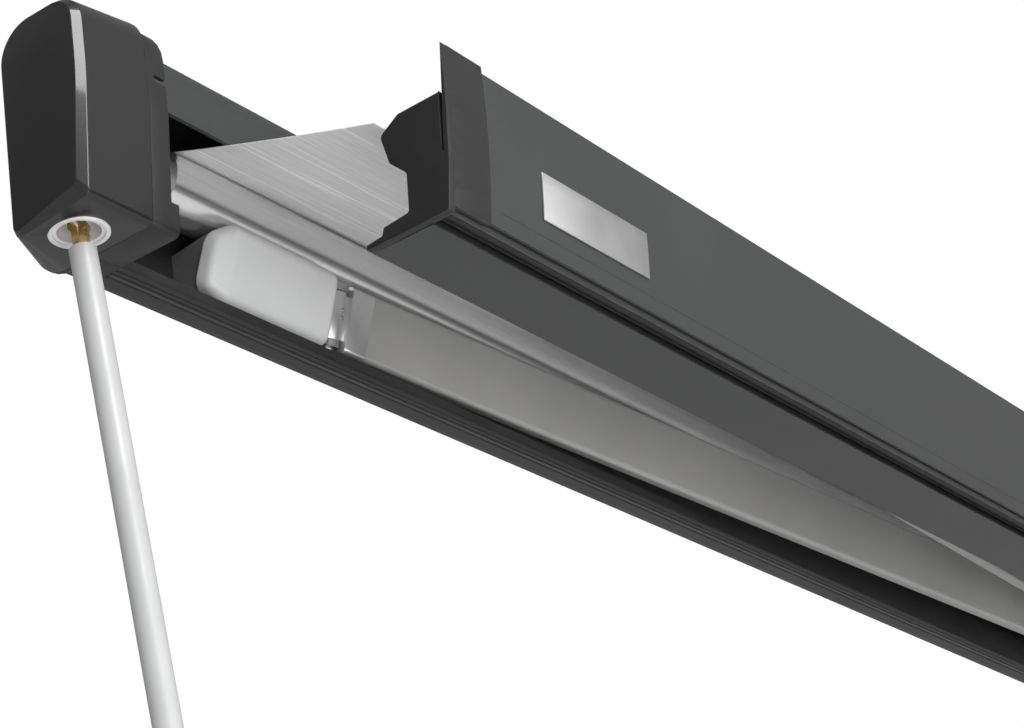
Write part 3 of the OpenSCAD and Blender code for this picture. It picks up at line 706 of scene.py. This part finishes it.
@dataclass
class NodeShape:
    """A Geometry Nodes tree with named float and object inputs, run once into a plain mesh."""

    name: str
    inputs: dict[str, tuple[str, Any]]

    def run(self, build: Callable[[Graph, bpy.types.Node], bpy.types.NodeSocket],
            finish: Finish, base: bpy.types.Mesh | None = None) -> bpy.types.Object:
        """Builds the tree, sets its inputs by identifier and keeps the result as a mesh.

        Args:
            build: fills the tree and returns the geometry before it is realised.
            finish: the finish that the tree sets.
            base: the mesh that the tree works on, where it has one.

        Returns:
            The finished object, without its modifier.
        """
        tree = bpy.data.node_groups.new(self.name, "GeometryNodeTree")
        tree.interface.new_socket("Geometry", in_out="INPUT", socket_type="NodeSocketGeometry")
        sockets = {}
        for key, (kind, _) in self.inputs.items():
            sockets[key] = tree.interface.new_socket(key, in_out="INPUT", socket_type=kind)
        tree.interface.new_socket("Geometry", in_out="OUTPUT", socket_type="NodeSocketGeometry")
        g = Graph(tree)
        shape = build(g, g.add("NodeGroupInput"))
        real = g.add("GeometryNodeRealizeInstances", {0: shape})
        done = g.add("GeometryNodeSetMaterial", {"Geometry": real.outputs[0]})
        done.inputs["Material"].default_value = finish.material()
        g.add("NodeGroupOutput", {0: done.outputs[0]})
        piece = bpy.data.objects.new(self.name, base or bpy.data.meshes.new(self.name))
        bpy.context.scene.collection.objects.link(piece)
        modifier = piece.modifiers.new("shape", "NODES")
        modifier.node_group = tree
        for key, (_, value) in self.inputs.items():
            modifier[sockets[key].identifier] = value
        apply_modifiers(piece)
        dress(piece, finish)
        return piece


def lathe(name: str, profile: Sequence[tuple[float, float]], sides: int,
          finish: Finish) -> bpy.types.Object:
    """A turned shape about z, closed at both ends of its profile.

    Args:
        name: the object's name.
        profile: (radius, height) points, in metres.
        sides: points round the axis.
        finish: its finish.

    Returns:
        The object, at the origin.
    """
    points = [(r * math.cos(math.tau * k / sides), r * math.sin(math.tau * k / sides), z)
              for r, z in profile for k in range(sides)]
    last = (len(profile) - 1) * sides
    ends = [tuple(reversed(range(sides))), tuple(range(last, last + sides))]
    return mesh_piece(name, points, bands(len(profile), sides) + ends, finish)


@dataclass
class Fasteners:
    """Round screw heads with a socket, set on points by Geometry Nodes."""

    name: str
    body: str
    radius: float = 0.004
    finish: Finish = STEEL

    def head(self) -> bpy.types.Object:
        """Turns one round screw head with a shallow socket.

        Returns:
            The head, at the origin and facing up.
        """
        r, h = self.radius, self.radius * 0.62
        profile = [(r * 0.98, -0.0004), (r, 0.0), (r, h * 0.45), (r * 0.93, h * 0.8),
                   (r * 0.75, h), (r * 0.5, h), (r * 0.46, h * 0.92), (r * 0.44, h * 0.3)]
        return lathe(f"{self.name}_head", profile, 24, self.finish)

    def build(self, spots: Sequence[tuple[Point, Point]]) -> bpy.types.Object:
        """Sets a head on each spot.

        Args:
            spots: (place, outward direction) of each head.

        Returns:
            One piece with all the heads.
        """
        mesh = bpy.data.meshes.new(self.name)
        mesh.from_pydata([s[0] for s in spots], [], [])
        facing = mesh.attributes.new("facing", "FLOAT_VECTOR", "POINT")
        facing.data.foreach_set("vector", [c for s in spots for c in s[1]])
        head = self.head()

        def tree(g: Graph, entry: bpy.types.Node) -> bpy.types.NodeSocket:
            """Sets the heads on the points, each turned to face its own way.

            Args:
                g: the tree's graph.
                entry: its input node.

            Returns:
                The heads as instances.
            """
            way = g.add("GeometryNodeInputNamedAttribute", {"Name": "facing"},
                        data_type="FLOAT_VECTOR")
            turn = g.add("FunctionNodeAlignRotationToVector", {"Vector": way.outputs[0]}, axis="Z")
            return g.shape_on(entry.outputs["Geometry"], entry.outputs["Head"],
                              Rotation=turn.outputs[0])

        shape = NodeShape(self.name, {"Head": ("NodeSocketObject", head)})
        piece = shape.run(tree, self.finish, mesh)
        bpy.data.objects.remove(head)
        return stand_in(piece, self.body)


# SUB-ASSEMBLIES


@dataclass
class EndCap:
    """Moulded cap over an end of the case, lofted through three outlines."""

    node: str
    far: bool
    length: float = 62.5
    arc_steps: int = 14
    wall: float = 3.0
    bevel: float = 6.0
    ease: float = 0.4
    knee: float = 0.3
    guard: float = 0.2
    ridge: float = 0.12
    brim: float = 0.2
    eye: Point = (33.0, -66.5, 0.0)
    collar: float = 19.7
    seam: tuple = ((-101.5, 0, 5), (-0.5, 0.5, 28), (-0.5, 157.5, 26), (-108.5, 157.5, 27),
                   (-108.5, 88, 300))
    shoulder: tuple = ((-101.5, 1, 5), (-39, -4, 5), (-39, 146.5, 26), (-108.5, 147.5, 22),
                       (-108.5, 88, 300))
    face: tuple = ((-96.5, 9, 5), (-43, -4, 4), (-43, 142.5, 26), (-104, 142.5, 16),
                   (-104, 88, 300))

    def rings(self) -> tuple[list[tuple[float, np.ndarray]], list[tuple[float, np.ndarray]]]:
        """Lays out the shell, whose outer edges are eased.

        A guard ring beside each eased edge keeps the faces' shading flat. The knee is the share
        of an ease at which it turns, and the ridge and the brim are how far the edges at the
        bevel and at the seam are drawn in.

        Returns:
            The stations of the inside and of the outside, each as x and an outline.
        """
        seam, shoulder, face = (rounded(c, self.arc_steps)
                                for c in (self.seam, self.shoulder, self.face))
        ease, guard = self.ease, self.guard
        inner = [(self.length, drawn_in(seam, self.wall)),
                 (self.bevel + self.wall * 0.6, drawn_in(shoulder, self.wall)),
                 (self.wall, drawn_in(face, self.wall))]
        outer = [(0.0, drawn_in(face, ease)), (ease * self.knee, drawn_in(face, ease * self.knee)),
                 *((x, face + (shoulder - face) * x / self.bevel)
                   for x in (ease, ease + guard, self.bevel - ease - guard, self.bevel - ease)),
                 (self.bevel, drawn_in(shoulder, self.ridge)),
                 *((x, shoulder + (seam - shoulder) * (x - self.bevel) / (self.length - self.bevel))
                   for x in (self.bevel + ease, self.bevel + ease + guard,
                             self.length - ease - guard, self.length - ease)),
                 (self.length - ease * self.knee, drawn_in(seam, self.brim)),
                 (self.length, drawn_in(seam, ease))]
        return inner[::-1], outer

    def build(self) -> list[bpy.types.Object]:
        """Builds the cap and stands it in for its CAD node.

        Returns:
            The one piece.
        """
        inner, outer = self.rings()
        rings = inner + outer[::-1]
        count = len(outer[0][1])
        points = [place(x, p[0], p[1]) for x, ring in rings for p in ring]
        last = (len(rings) - 1) * count
        faces = [*bands(len(rings), count), tuple(range(count)), tuple(range(last, last + count))]
        if self.far:
            points = [mirrored(p) for p in points]
        piece = mesh_piece(f"{self.node}_shell", points, faces, CAP_PLASTIC)
        if not self.far:
            self.cut_collar(piece)
        dress(piece, CAP_PLASTIC, crease=24)
        return [stand_in(piece, "case", self.node)]

    def cut_collar(self, piece: bpy.types.Object) -> None:
        """Cuts the hole for the eye's collar through the cap's bottom.

        Args:
            piece: the cap.
        """
        radius, reach = self.collar * MM, 0.012
        tool = lathe("collar_tool", [(radius, -reach), (radius, reach)], 72, CAP_PLASTIC)
        tool.data.transform(Matrix.Translation(Vector(place(*self.eye))))
        cut = piece.modifiers.new("collar", "BOOLEAN")
        cut.object, cut.operation, cut.solver = tool, "DIFFERENCE", "EXACT"
        apply_modifiers(piece)
        bpy.data.objects.remove(tool)


@dataclass
class ShoulderCover:
    """White moulding over a shoulder, with soft edges all round."""

    far: bool
    start: float = 189.0
    arc_steps: int = 7
    wall: float = 2.2
    back: float = -12.3
    back_slack: float = 0.2
    middle: float = 58.0
    half: tuple[float, float] = (18.7, 28.5)
    chamfer: tuple[float, float] = (0.72, 1.0)
    open_from: int = 4
    outline: tuple = ((-31, 31, 9), (-12.3, 31, 1.5), (-12.3, 82.6, 3), (-16.5, 88, 3),
                      (-31, 88, 9))
    stations: tuple = ((0.0, 15.0), (0.4, 12.0), (1.4, 9.6), (2.8, 8.0), (4.5, 6.8), (11.6, 2.3),
                       (13.0, 1.3), (14.6, 0.5), (16.6, 0.1), (19.0, 0.0), (70.0, 0.0),
                       (117.0, 0.0), (120.4, 0.6), (122.2, 1.7), (123.0, 3.4))

    def ring(self, inset: float) -> np.ndarray:
        """Draws the front and the ends of the outline in, and keeps its back.

        Args:
            inset: how far, in millimetres before the chamfer's two shares.

        Returns:
            The outline's points.
        """
        base = rounded(self.outline, self.arc_steps)
        middle, half = np.array([self.back, self.middle]), np.array(self.half)
        share = (half - inset * np.array(self.chamfer)) / half
        return middle + (base - middle) * share

    def build(self) -> list[bpy.types.Object]:
        """Builds the cover, open towards the wall and towards the arm.

        Returns:
            The one piece.
        """
        rings = [(self.start + x, self.ring(inset)) for x, inset in self.stations]
        count = len(rings[0][1])
        points = [lean_place(x, p[0], p[1]) for x, ring in rings for p in ring]
        faces = [tuple(range(count))]
        for face in bands(len(rings), count):
            at_back = all(abs(rings[n // count][1][n % count][0] - self.back) < self.back_slack
                          for n in face[:2])
            if not (at_back and face[0] // count > self.open_from):
                faces.append(face)
        if self.far:
            points = [mirrored(p) for p in points]
        side = "right" if self.far else "left"
        piece = mesh_piece(f"shoulder_cover_{side}_moulding", points, faces, WHITE_PLASTIC)
        wall = piece.modifiers.new("wall", "SOLIDIFY")
        wall.thickness, wall.offset = self.wall * MM, -1.0
        apply_modifiers(piece)
        dress(piece, WHITE_PLASTIC, crease=60)
        return [stand_in(piece, "case", f"shoulder_cover_{side}")]


@dataclass
class Canopy:
    """The cloth: wound on the tube, stretched to the rail and hemmed there."""

    width: float = 3204.0
    margin: float = 148.0
    roller: tuple[float, float] = (-31.5, 97.0)
    tube_radius: float = 18.0
    roll_radius: float = 24.0
    laps: int = 18
    cloth: float = 0.3
    lift: float = 0.3
    keder: tuple[float, float] = (-76.0, 92.0)
    keder_rise: float = 6.5
    hem_length: float = 48.0
    overlap: float = 40.0
    sag: float = 1.1
    drawn_in_at_roll: float = 12.0
    flare: float = 18.0
    hem_inset: float = 14.0
    hem_proud: float = 1.3
    cord_radius: float = 2.5
    cord_neck: float = 16.0
    sag_reach: float = 60.0
    ripple: float = 0.25
    ripple_length: float = 47.0
    sheet: float = 0.5
    edge_columns: tuple[float, int] = (150.0, 24)
    middle_columns: tuple[float, int] = (180.0, 32)
    rows: int = 25
    fixed_ends: float = 2.0
    stitch_pitch: float = 4.0
    stitch_rows: tuple[float, float] = (8.0, 17.0)
    stitch_lift: float = 2.2
    stitch_margin: float = 6.0

    def groove(self, rise: float = 0.0) -> np.ndarray:
        """The middle of the rail's groove as y and z, or a point that far above it."""
        return np.array([self.keder[0] - OPENING * LEAN_COS,
                         self.keder[1] + rise - OPENING * LEAN_SIN])

    def path(self) -> tuple[np.ndarray, np.ndarray, np.ndarray, float]:
        """Finds the line of the stretched cloth, square to the awning.

        Returns:
            Its start on the roll, its direction, its upward normal and its length.
        """
        end = self.groove(self.keder_rise)
        axis = np.array(self.roller)
        reach = end - axis
        slope = math.atan2(-reach[1], -reach[0]) + math.asin(
            (self.roll_radius + self.lift) / float(np.linalg.norm(reach)))
        way = np.array([-math.cos(slope), -math.sin(slope)])
        up = np.array([-math.sin(slope), math.cos(slope)])
        start = axis + (self.roll_radius + self.lift) * up
        return start, way, up, float(np.linalg.norm(end - start))

    def roll(self) -> bpy.types.Object:
        """Winds the cloth as one thin spiral strip, by Geometry Nodes.

        Returns:
            The piece, which stands in for the fabric roll on the roller.
        """
        _, _, up, _ = self.path()
        leave = math.atan2(up[1], up[0])
        at = place(LENGTH / 2, *self.roller)

        def tree(g: Graph, entry: bpy.types.Node) -> bpy.types.NodeSocket:
            """Runs the cloth's thin section along a spiral that ends where the sheet leaves it.

            Args:
                g: the tree's graph.
                entry: its input node.

            Returns:
                The strip, in its place on the tube.
            """
            spiral = g.add("GeometryNodeCurveSpiral", {
                "Resolution": 48, "Rotations": entry.outputs["Laps"],
                "Start Radius": entry.outputs["Inner radius"],
                "End Radius": entry.outputs["Outer radius"], "Height": 0.0})
            first = g.add("GeometryNodeTransform", {"Geometry": spiral.outputs[0],
                                                    "Rotation": (0.0, 0.0, leave)})
            turned = g.add("GeometryNodeTransform", {
                "Geometry": first.outputs[0], "Rotation": (math.pi / 2, 0.0, math.pi / 2)})
            strip = g.add("GeometryNodeCurvePrimitiveQuadrilateral", {
                "Width": entry.outputs["Width"], "Height": entry.outputs["Thickness"]})
            swept = g.add("GeometryNodeCurveToMesh", {
                "Curve": turned.outputs[0], "Profile Curve": strip.outputs[0],
                "Fill Caps": True})
            return g.add("GeometryNodeTransform", {"Geometry": swept.outputs[0],
                                                   "Translation": at}).outputs[0]

        real = "NodeSocketFloat"
        inner = self.tube_radius + 0.1 + self.cloth / 2
        outer = self.roll_radius - self.cloth / 2
        piece = NodeShape("canopy_roll", {
            "Laps": (real, float(self.laps)), "Inner radius": (real, inner * MM),
            "Outer radius": (real, outer * MM), "Thickness": (real, self.cloth * MM),
            "Width": (real, self.width * MM)}).run(tree, ROLL_CANVAS)
        stand_in(piece, "roller", "fabric_roll")
        return piece

    def stretched(self) -> bpy.types.Object:
        """Builds the cloth from the roll to the rail, which sags a little at its free edges.

        Returns:
            The piece, in place of the canopy node.
        """
        start, way, up, length = self.path()
        length -= self.overlap
        (fine_to, fine), (coarse_from, coarse) = self.edge_columns, self.middle_columns
        near = np.concatenate([np.linspace(0, fine_to, fine),
                               np.linspace(coarse_from, self.width / 2, coarse)])
        columns = np.unique(np.concatenate([near, self.width - near]))
        rows = np.linspace(0, 1, self.rows)
        points, faces = [], []
        for x in columns:
            edge = min(x, self.width - x)
            for t in rows:
                sag = self.sag * math.exp(-edge / self.sag_reach)
                ripple = self.ripple * math.sin(x / self.ripple_length)
                p = start + way * t * length - up * (sag + ripple) * math.sin(math.pi * t)
                splay = self.drawn_in_at_roll * (1 - t) - self.flare * t
                points.append(place(self.margin + x + (1 - 2 * x / self.width) * splay, p[0], p[1]))
        n = len(rows)
        for i in range(len(columns) - 1):
            for k in range(n - 1):
                faces.append((i * n + k, i * n + k + 1, (i + 1) * n + k + 1, (i + 1) * n + k))
        piece = mesh_piece("canopy_cloth", points, faces, CANVAS)
        wall = piece.modifiers.new("cloth", "SOLIDIFY")
        wall.thickness, wall.offset = self.sheet * MM, 0.0
        apply_modifiers(piece)
        dress(piece, CANVAS, crease=60)
        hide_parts("canopy")
        near = start + way * self.fixed_ends
        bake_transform(piece)
        return piece

    def hem(self) -> bpy.types.Object:
        """Builds the folded hem with the cord that holds it in the rail's groove.

        Returns:
            The piece, on the rail.
        """
        start, way, up, length = self.path()
        proud = self.hem_proud
        end = start + way * (length + 1)
        fold = start + way * (length - self.hem_length)
        drop = self.groove()
        # each point of the hem's two layers: where it hangs, how far on and how far up
        top = [(fold, 0.0, proud + 0.1), (fold, 0.4, proud + 0.75), (fold, 3.0, proud + 0.9),
               (fold, 24.0, proud + 0.9), (fold, 25.0, proud + 0.45), (end, -3.0, proud + 0.45),
               (end, 0.0, proud + 0.3), (end, -0.2, proud * 0.6)]
        back = [(end, -1.6, proud * 0.6), (end, -2.6, proud - 0.1)]
        around = np.linspace(math.radians(90 - self.cord_neck),
                             math.radians(90 + self.cord_neck) - math.tau, 22)
        ring = [drop + self.cord_radius * np.array([math.cos(a), math.sin(a)]) for a in around]
        top, back = ([at + way * on + up * rise for at, on, rise in part] for part in (top, back))
        edge = self.margin - self.flare + self.hem_inset
        piece = prism("canopy_hem_fold", [*top, *ring, *back], (edge, LENGTH - edge), CANVAS)
        return stand_in(piece, "rail", "canopy_hem")

    def stitches(self) -> bpy.types.Object:
        """Sews two rows of stitches along the hem, by Geometry Nodes.

        Returns:
            The piece, on the rail.
        """
        start, way, up, length = self.path()
        fold = start + way * (length - self.hem_length) + up * self.stitch_lift
        stitch = lathe("stitch", [(0.00012, -0.0013), (0.00026, -0.0009), (0.00026, 0.0009),
                                  (0.00012, 0.0013)], 6, CANVAS)
        stitch.data.transform(Matrix.Rotation(math.pi / 2, 4, "Y"))

        def tree(g: Graph, entry: bpy.types.Node) -> bpy.types.NodeSocket:
            """Sets the stitches on a line of points for each row.

            Args:
                g: the tree's graph.
                entry: its input node.

            Returns:
                The stitches of all rows as instances.
            """
            rows = []
            for row in self.stitch_rows:
                spot = fold + way * row
                line = g.add("GeometryNodeMeshLine", {
                    "Count": int((self.width - 2 * self.stitch_margin) / self.stitch_pitch),
                    "Start Location": place(self.margin + self.stitch_margin, spot[0], spot[1]),
                    "Offset": (self.stitch_pitch * MM, 0.0, 0.0)})
                rows.append(g.shape_on(line.outputs[0], entry.outputs["Stitch"]))
            join = g.add("GeometryNodeJoinGeometry")
            for row in rows:
                g.tree.links.new(row, join.inputs[0])
            return join.outputs[0]

        shape = NodeShape("hem_stitches", {"Stitch": ("NodeSocketObject", stitch)})
        piece = shape.run(tree, CANVAS)
        bpy.data.objects.remove(stitch)
        return stand_in(piece, "rail")

    def build(self) -> list[bpy.types.Object]:
        """Returns:
            The wound cloth, the stretched cloth, the hem and its stitches.
        """
        roll, cloth, hem, stitches = self.roll(), self.stretched(), self.hem(), self.stitches()
        return [roll, cloth, hem, stitches]


@dataclass
class CaseFloor:
    """Extruded ridges, and a dark warm strip under the front edge of the case's floor whose colour
    is a painted reflection.
    """

    start: float = 88.0
    front: float = -46.4
    pitch: float = 4.4
    count: int = 3
    width: float = 1.1
    proud: float = 0.7
    # where the strip with the painted reflection lies, and how far it stands below the floor
    inlay: tuple[float, float] = (-41.3, -38.3)
    inlay_proud: float = 0.2

    def bar(self, name: str, low: float, high: float, proud: float,
            finish: Finish) -> bpy.types.Object:
        """Makes a long bar with drawn in lower edges, let into the floor's underside.

        Args:
            name: the bar's name.
            low: its front edge.
            high: its back edge.
            proud: how far it stands below the floor.
            finish: its finish.

        Returns:
            The bar.
        """
        sunk = 0.3
        ease = min(0.3, proud * 0.6)
        section = [(low, sunk), (low, -proud + ease), (low + ease, -proud), (high - ease, -proud),
                   (high, -proud + ease), (high, sunk)]
        return prism(name, section, (self.start, LENGTH - self.start), finish)

    def build(self) -> list[bpy.types.Object]:
        """Sets out the ridges by Geometry Nodes and adds the dark warm strip, whose colour is a
        painted reflection.

        Returns:
            The ridges and the strip with the painted reflection.
        """
        bar = self.bar("floor_ridge", self.front, self.front + self.width, self.proud, CASE_COAT)

        def tree(g: Graph, entry: bpy.types.Node) -> bpy.types.NodeSocket:
            """Sets the ridges side by side, a pitch apart.

            Args:
                g: the tree's graph.
                entry: its input node.

            Returns:
                The ridges as instances.
            """
            line = g.add("GeometryNodeMeshLine", {"Count": entry.outputs["Count"]})
            step = g.add("ShaderNodeCombineXYZ", {"Y": entry.outputs["Pitch"]})
            g.tree.links.new(step.outputs[0], line.inputs["Offset"])
            return g.shape_on(line.outputs[0], entry.outputs["Ridge"])

        ridges = NodeShape("case_floor_ridges", {
            "Ridge": ("NodeSocketObject", bar), "Count": ("NodeSocketInt", self.count),
            "Pitch": ("NodeSocketFloat", self.pitch * MM)}).run(tree, CASE_COAT)
        bpy.data.objects.remove(bar)
        stand_in(ridges, "case")
        # a thin strip whose dark warm colour is a painted reflection
        inlay = self.bar("case_floor_inlay", *self.inlay, self.inlay_proud, PAINTED_REFLECTION_BAND)
        return [ridges, stand_in(inlay, "case")]


@dataclass
class Hardware:
    """The CAD nodes that keep their shape, with rounded edges where they show."""

    soft: dict[str, float] = field(default_factory=lambda: {
        "gear_bracket": 0.0007, "plain_bracket": 0.0007, "rail_end_cap": 0.0006,
        "name_plate": 0.0003, "eye_collar": 0.0005, "hand_bracket": 0.0005,
        "arm_knuckle": 0.0006, "elbow_fork": 0.0006, "elbow_tongue": 0.0006,
        "hand_knuckle": 0.0006})
    pin_heads: tuple[Point, ...] = ((321.0, -20.55, 34.9),)
    pin_head_radius: float = 0.0055
    barrel_screws: tuple[Point, ...] = ((323.0, -28.2, 63.0), (323.4, -28.2, 57.5))
    barrel_screw_radius: float = 0.0016

    def build(self) -> list[bpy.types.Object]:
        """Dresses every node that shows and softens the ones named in soft.

        Returns:
            The nodes, or the softened copies that stand for them.
        """
        pieces = []
        for name, node in frame["nodes"].items():
            finish = NODE_FINISHES.get(stem(name))
            if finish is None:
                continue
            dress(node, finish)
            if stem(name) in self.soft:
                node = softened(name, finish, self.soft[stem(name)], node["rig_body"])
            pieces.append(node)
        return pieces

    def screws(self) -> list[bpy.types.Object]:
        """Sets pin heads under the shoulders and set screws in the knuckles' barrels.

        Returns:
            A piece for each kind and side.
        """
        pieces = []
        down, out = (tuple(np.subtract(lean_place(*way), lean_place(0, 0, 0)) * 1000)
                     for way in ((0, 0, -1), (0, -1, 0)))
        for far, side in ((False, "left"), (True, "right")):
            body = frame["nodes"][f"arm_knuckle_{side}"]["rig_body"]
            for name, on, places, way, radius in (
                    ("shoulder_pin_heads", "case", self.pin_heads, down, self.pin_head_radius),
                    ("barrel_screws", body, self.barrel_screws, out, self.barrel_screw_radius)):
                spots = [lean_place(*p) for p in places]
                if far:
                    spots = [mirrored(p) for p in spots]
                pieces.append(Fasteners(f"{name}_{side}", on, radius).build(
                    [(p, way) for p in spots]))
        return pieces


@dataclass(frozen=True)
class Lamp:
    """A soft rectangular lamp that looks at a point."""

    name: str
    at: Point
    aim: Point
    size: tuple[float, float]
    power: float

    def build(self) -> None:
        """Adds the lamp."""
        data = bpy.data.lights.new(self.name, "AREA")
        data.shape, data.size, data.size_y = "RECTANGLE", *self.size
        data.energy = self.power
        lamp = bpy.data.objects.new(self.name, data)
        lamp.location = self.at
        way = Vector(self.aim) - Vector(self.at)
        lamp.rotation_euler = way.to_track_quat("-Z", "Y").to_euler()
        bpy.context.scene.collection.objects.link(lamp)


@dataclass
class Studio:
    """Floor, soft light, white background and the camera."""

    floor_height: float = -1.9
    eye: Point = (-2.750, -0.992, -0.8456)
    right: Point = (0.5759, -0.8039, -0.1490)
    upward: Point = (-0.2766, -0.3631, 0.8898)
    lens: float = 89.65
    lamps: tuple[Lamp, ...] = (
        Lamp("front key", (-0.6, -4.2, 0.6), (-0.9, -0.2, 0.0), (3.6, 2.2), 68.0),
        Lamp("left card", (-2.27, -1.45, 1.16), (-1.75, -0.1, 0.05), (0.6, 1.3), 38.0),
        Lamp("floor wash", (-1.6, -2.4, -1.8), (-1.3, -0.1, 0.0), (3.0, 1.6), 55.0),
        Lamp("left fill", (-2.9, -1.5, -1.25), (-1.3, -0.05, 0.0), (1.2, 1.0), 22.0),
    )
    floor_half: float = 9.0
    floor_level: float = 0.8
    plain_light: float = 0.62
    bright_way: Point = (0.25, -0.70, -0.55)
    gloss_from: tuple[float, float] = (-0.55, 0.22)
    gloss_to: tuple[float, float] = (0.75, 0.64)

    def build(self) -> None:
        """Builds the studio and sets the camera."""
        for lamp in self.lamps:
            lamp.build()
        self.world()
        self.floor()
        self.camera()
        bpy.context.scene.view_settings.view_transform = "Standard"

    def world(self) -> None:
        """White behind the object, a soft graded room for gloss and an even light."""
        world = bpy.data.worlds.new("studio")
        bpy.context.scene.world = world
        world.use_nodes = True
        world.node_tree.nodes.clear()
        g = Graph(world.node_tree)
        ray = g.add("ShaderNodeLightPath")
        way = g.add("ShaderNodeTexCoord").outputs["Generated"]
        (low, dim), (high, bright) = self.gloss_from, self.gloss_to
        gloss = g.between(g.dot(way, self.bright_way), low, high, dim, bright)
        plain = g.add("ShaderNodeBackground", {"Color": grey(1.0), "Strength": self.plain_light})
        room = g.add("ShaderNodeBackground", {"Color": grey(1.0), "Strength": gloss})
        white = g.add("ShaderNodeBackground", {"Color": grey(1.0), "Strength": 1.0})
        lit = g.add("ShaderNodeMixShader", {0: ray.outputs["Is Glossy Ray"], 1: plain.outputs[0],
                                            2: room.outputs[0]})
        seen = g.maths("MAXIMUM", ray.outputs["Is Camera Ray"], ray.outputs["Is Transmission Ray"])
        both = g.add("ShaderNodeMixShader", {0: seen, 1: lit.outputs[0], 2: white.outputs[0]})
        g.add("ShaderNodeOutputWorld", {"Surface": both.outputs[0]})

    def floor(self) -> None:
        """A plain pale floor, well below the awning."""
        half, z = self.floor_half, self.floor_height
        mesh = bpy.data.meshes.new("floor")
        mesh.from_pydata([(-half, -half, z), (half, -half, z), (half, half, z), (-half, half, z)],
                         [], [(0, 1, 2, 3)])
        floor = bpy.data.objects.new("floor", mesh)
        bpy.context.scene.collection.objects.link(floor)
        made = bpy.data.materials.new("pale floor")
        made.use_nodes = True
        inputs = made.node_tree.nodes["Principled BSDF"].inputs
        inputs["Base Color"].default_value = grey(self.floor_level)
        inputs["Roughness"].default_value = 0.8
        mesh.materials.append(made)

    def camera(self) -> None:
        """The camera, at the photograph's place."""
        data = bpy.data.cameras.new("camera")
        data.lens, data.sensor_width = self.lens, 36.0
        data.clip_start, data.clip_end = 0.05, 100.0
        camera = bpy.data.objects.new("camera", data)
        right, upward = Vector(self.right).normalized(), Vector(self.upward).normalized()
        turn = Matrix((right, upward, right.cross(upward))).transposed().to_4x4()
        camera.matrix_world = Matrix.Translation(self.eye) @ turn
        bpy.context.scene.collection.objects.link(camera)
        bpy.context.scene.camera = camera


def main() -> None:
    """Builds the studio and the awning, and reports each piece."""
    logging.basicConfig(level=logging.INFO, format="%(name)s: %(message)s")
    Studio().build()
    hardware = Hardware()
    for build in (hardware.build, EndCap("gear_end_cap", far=False).build,
                  EndCap("plain_end_cap", far=True).build, ShoulderCover(far=False).build,
                  ShoulderCover(far=True).build, CaseFloor().build, Canopy().build,
                  hardware.screws):
        for piece in build():
            LOG.info("built %s", piece.name)


if __name__ == "__main__":
    main()
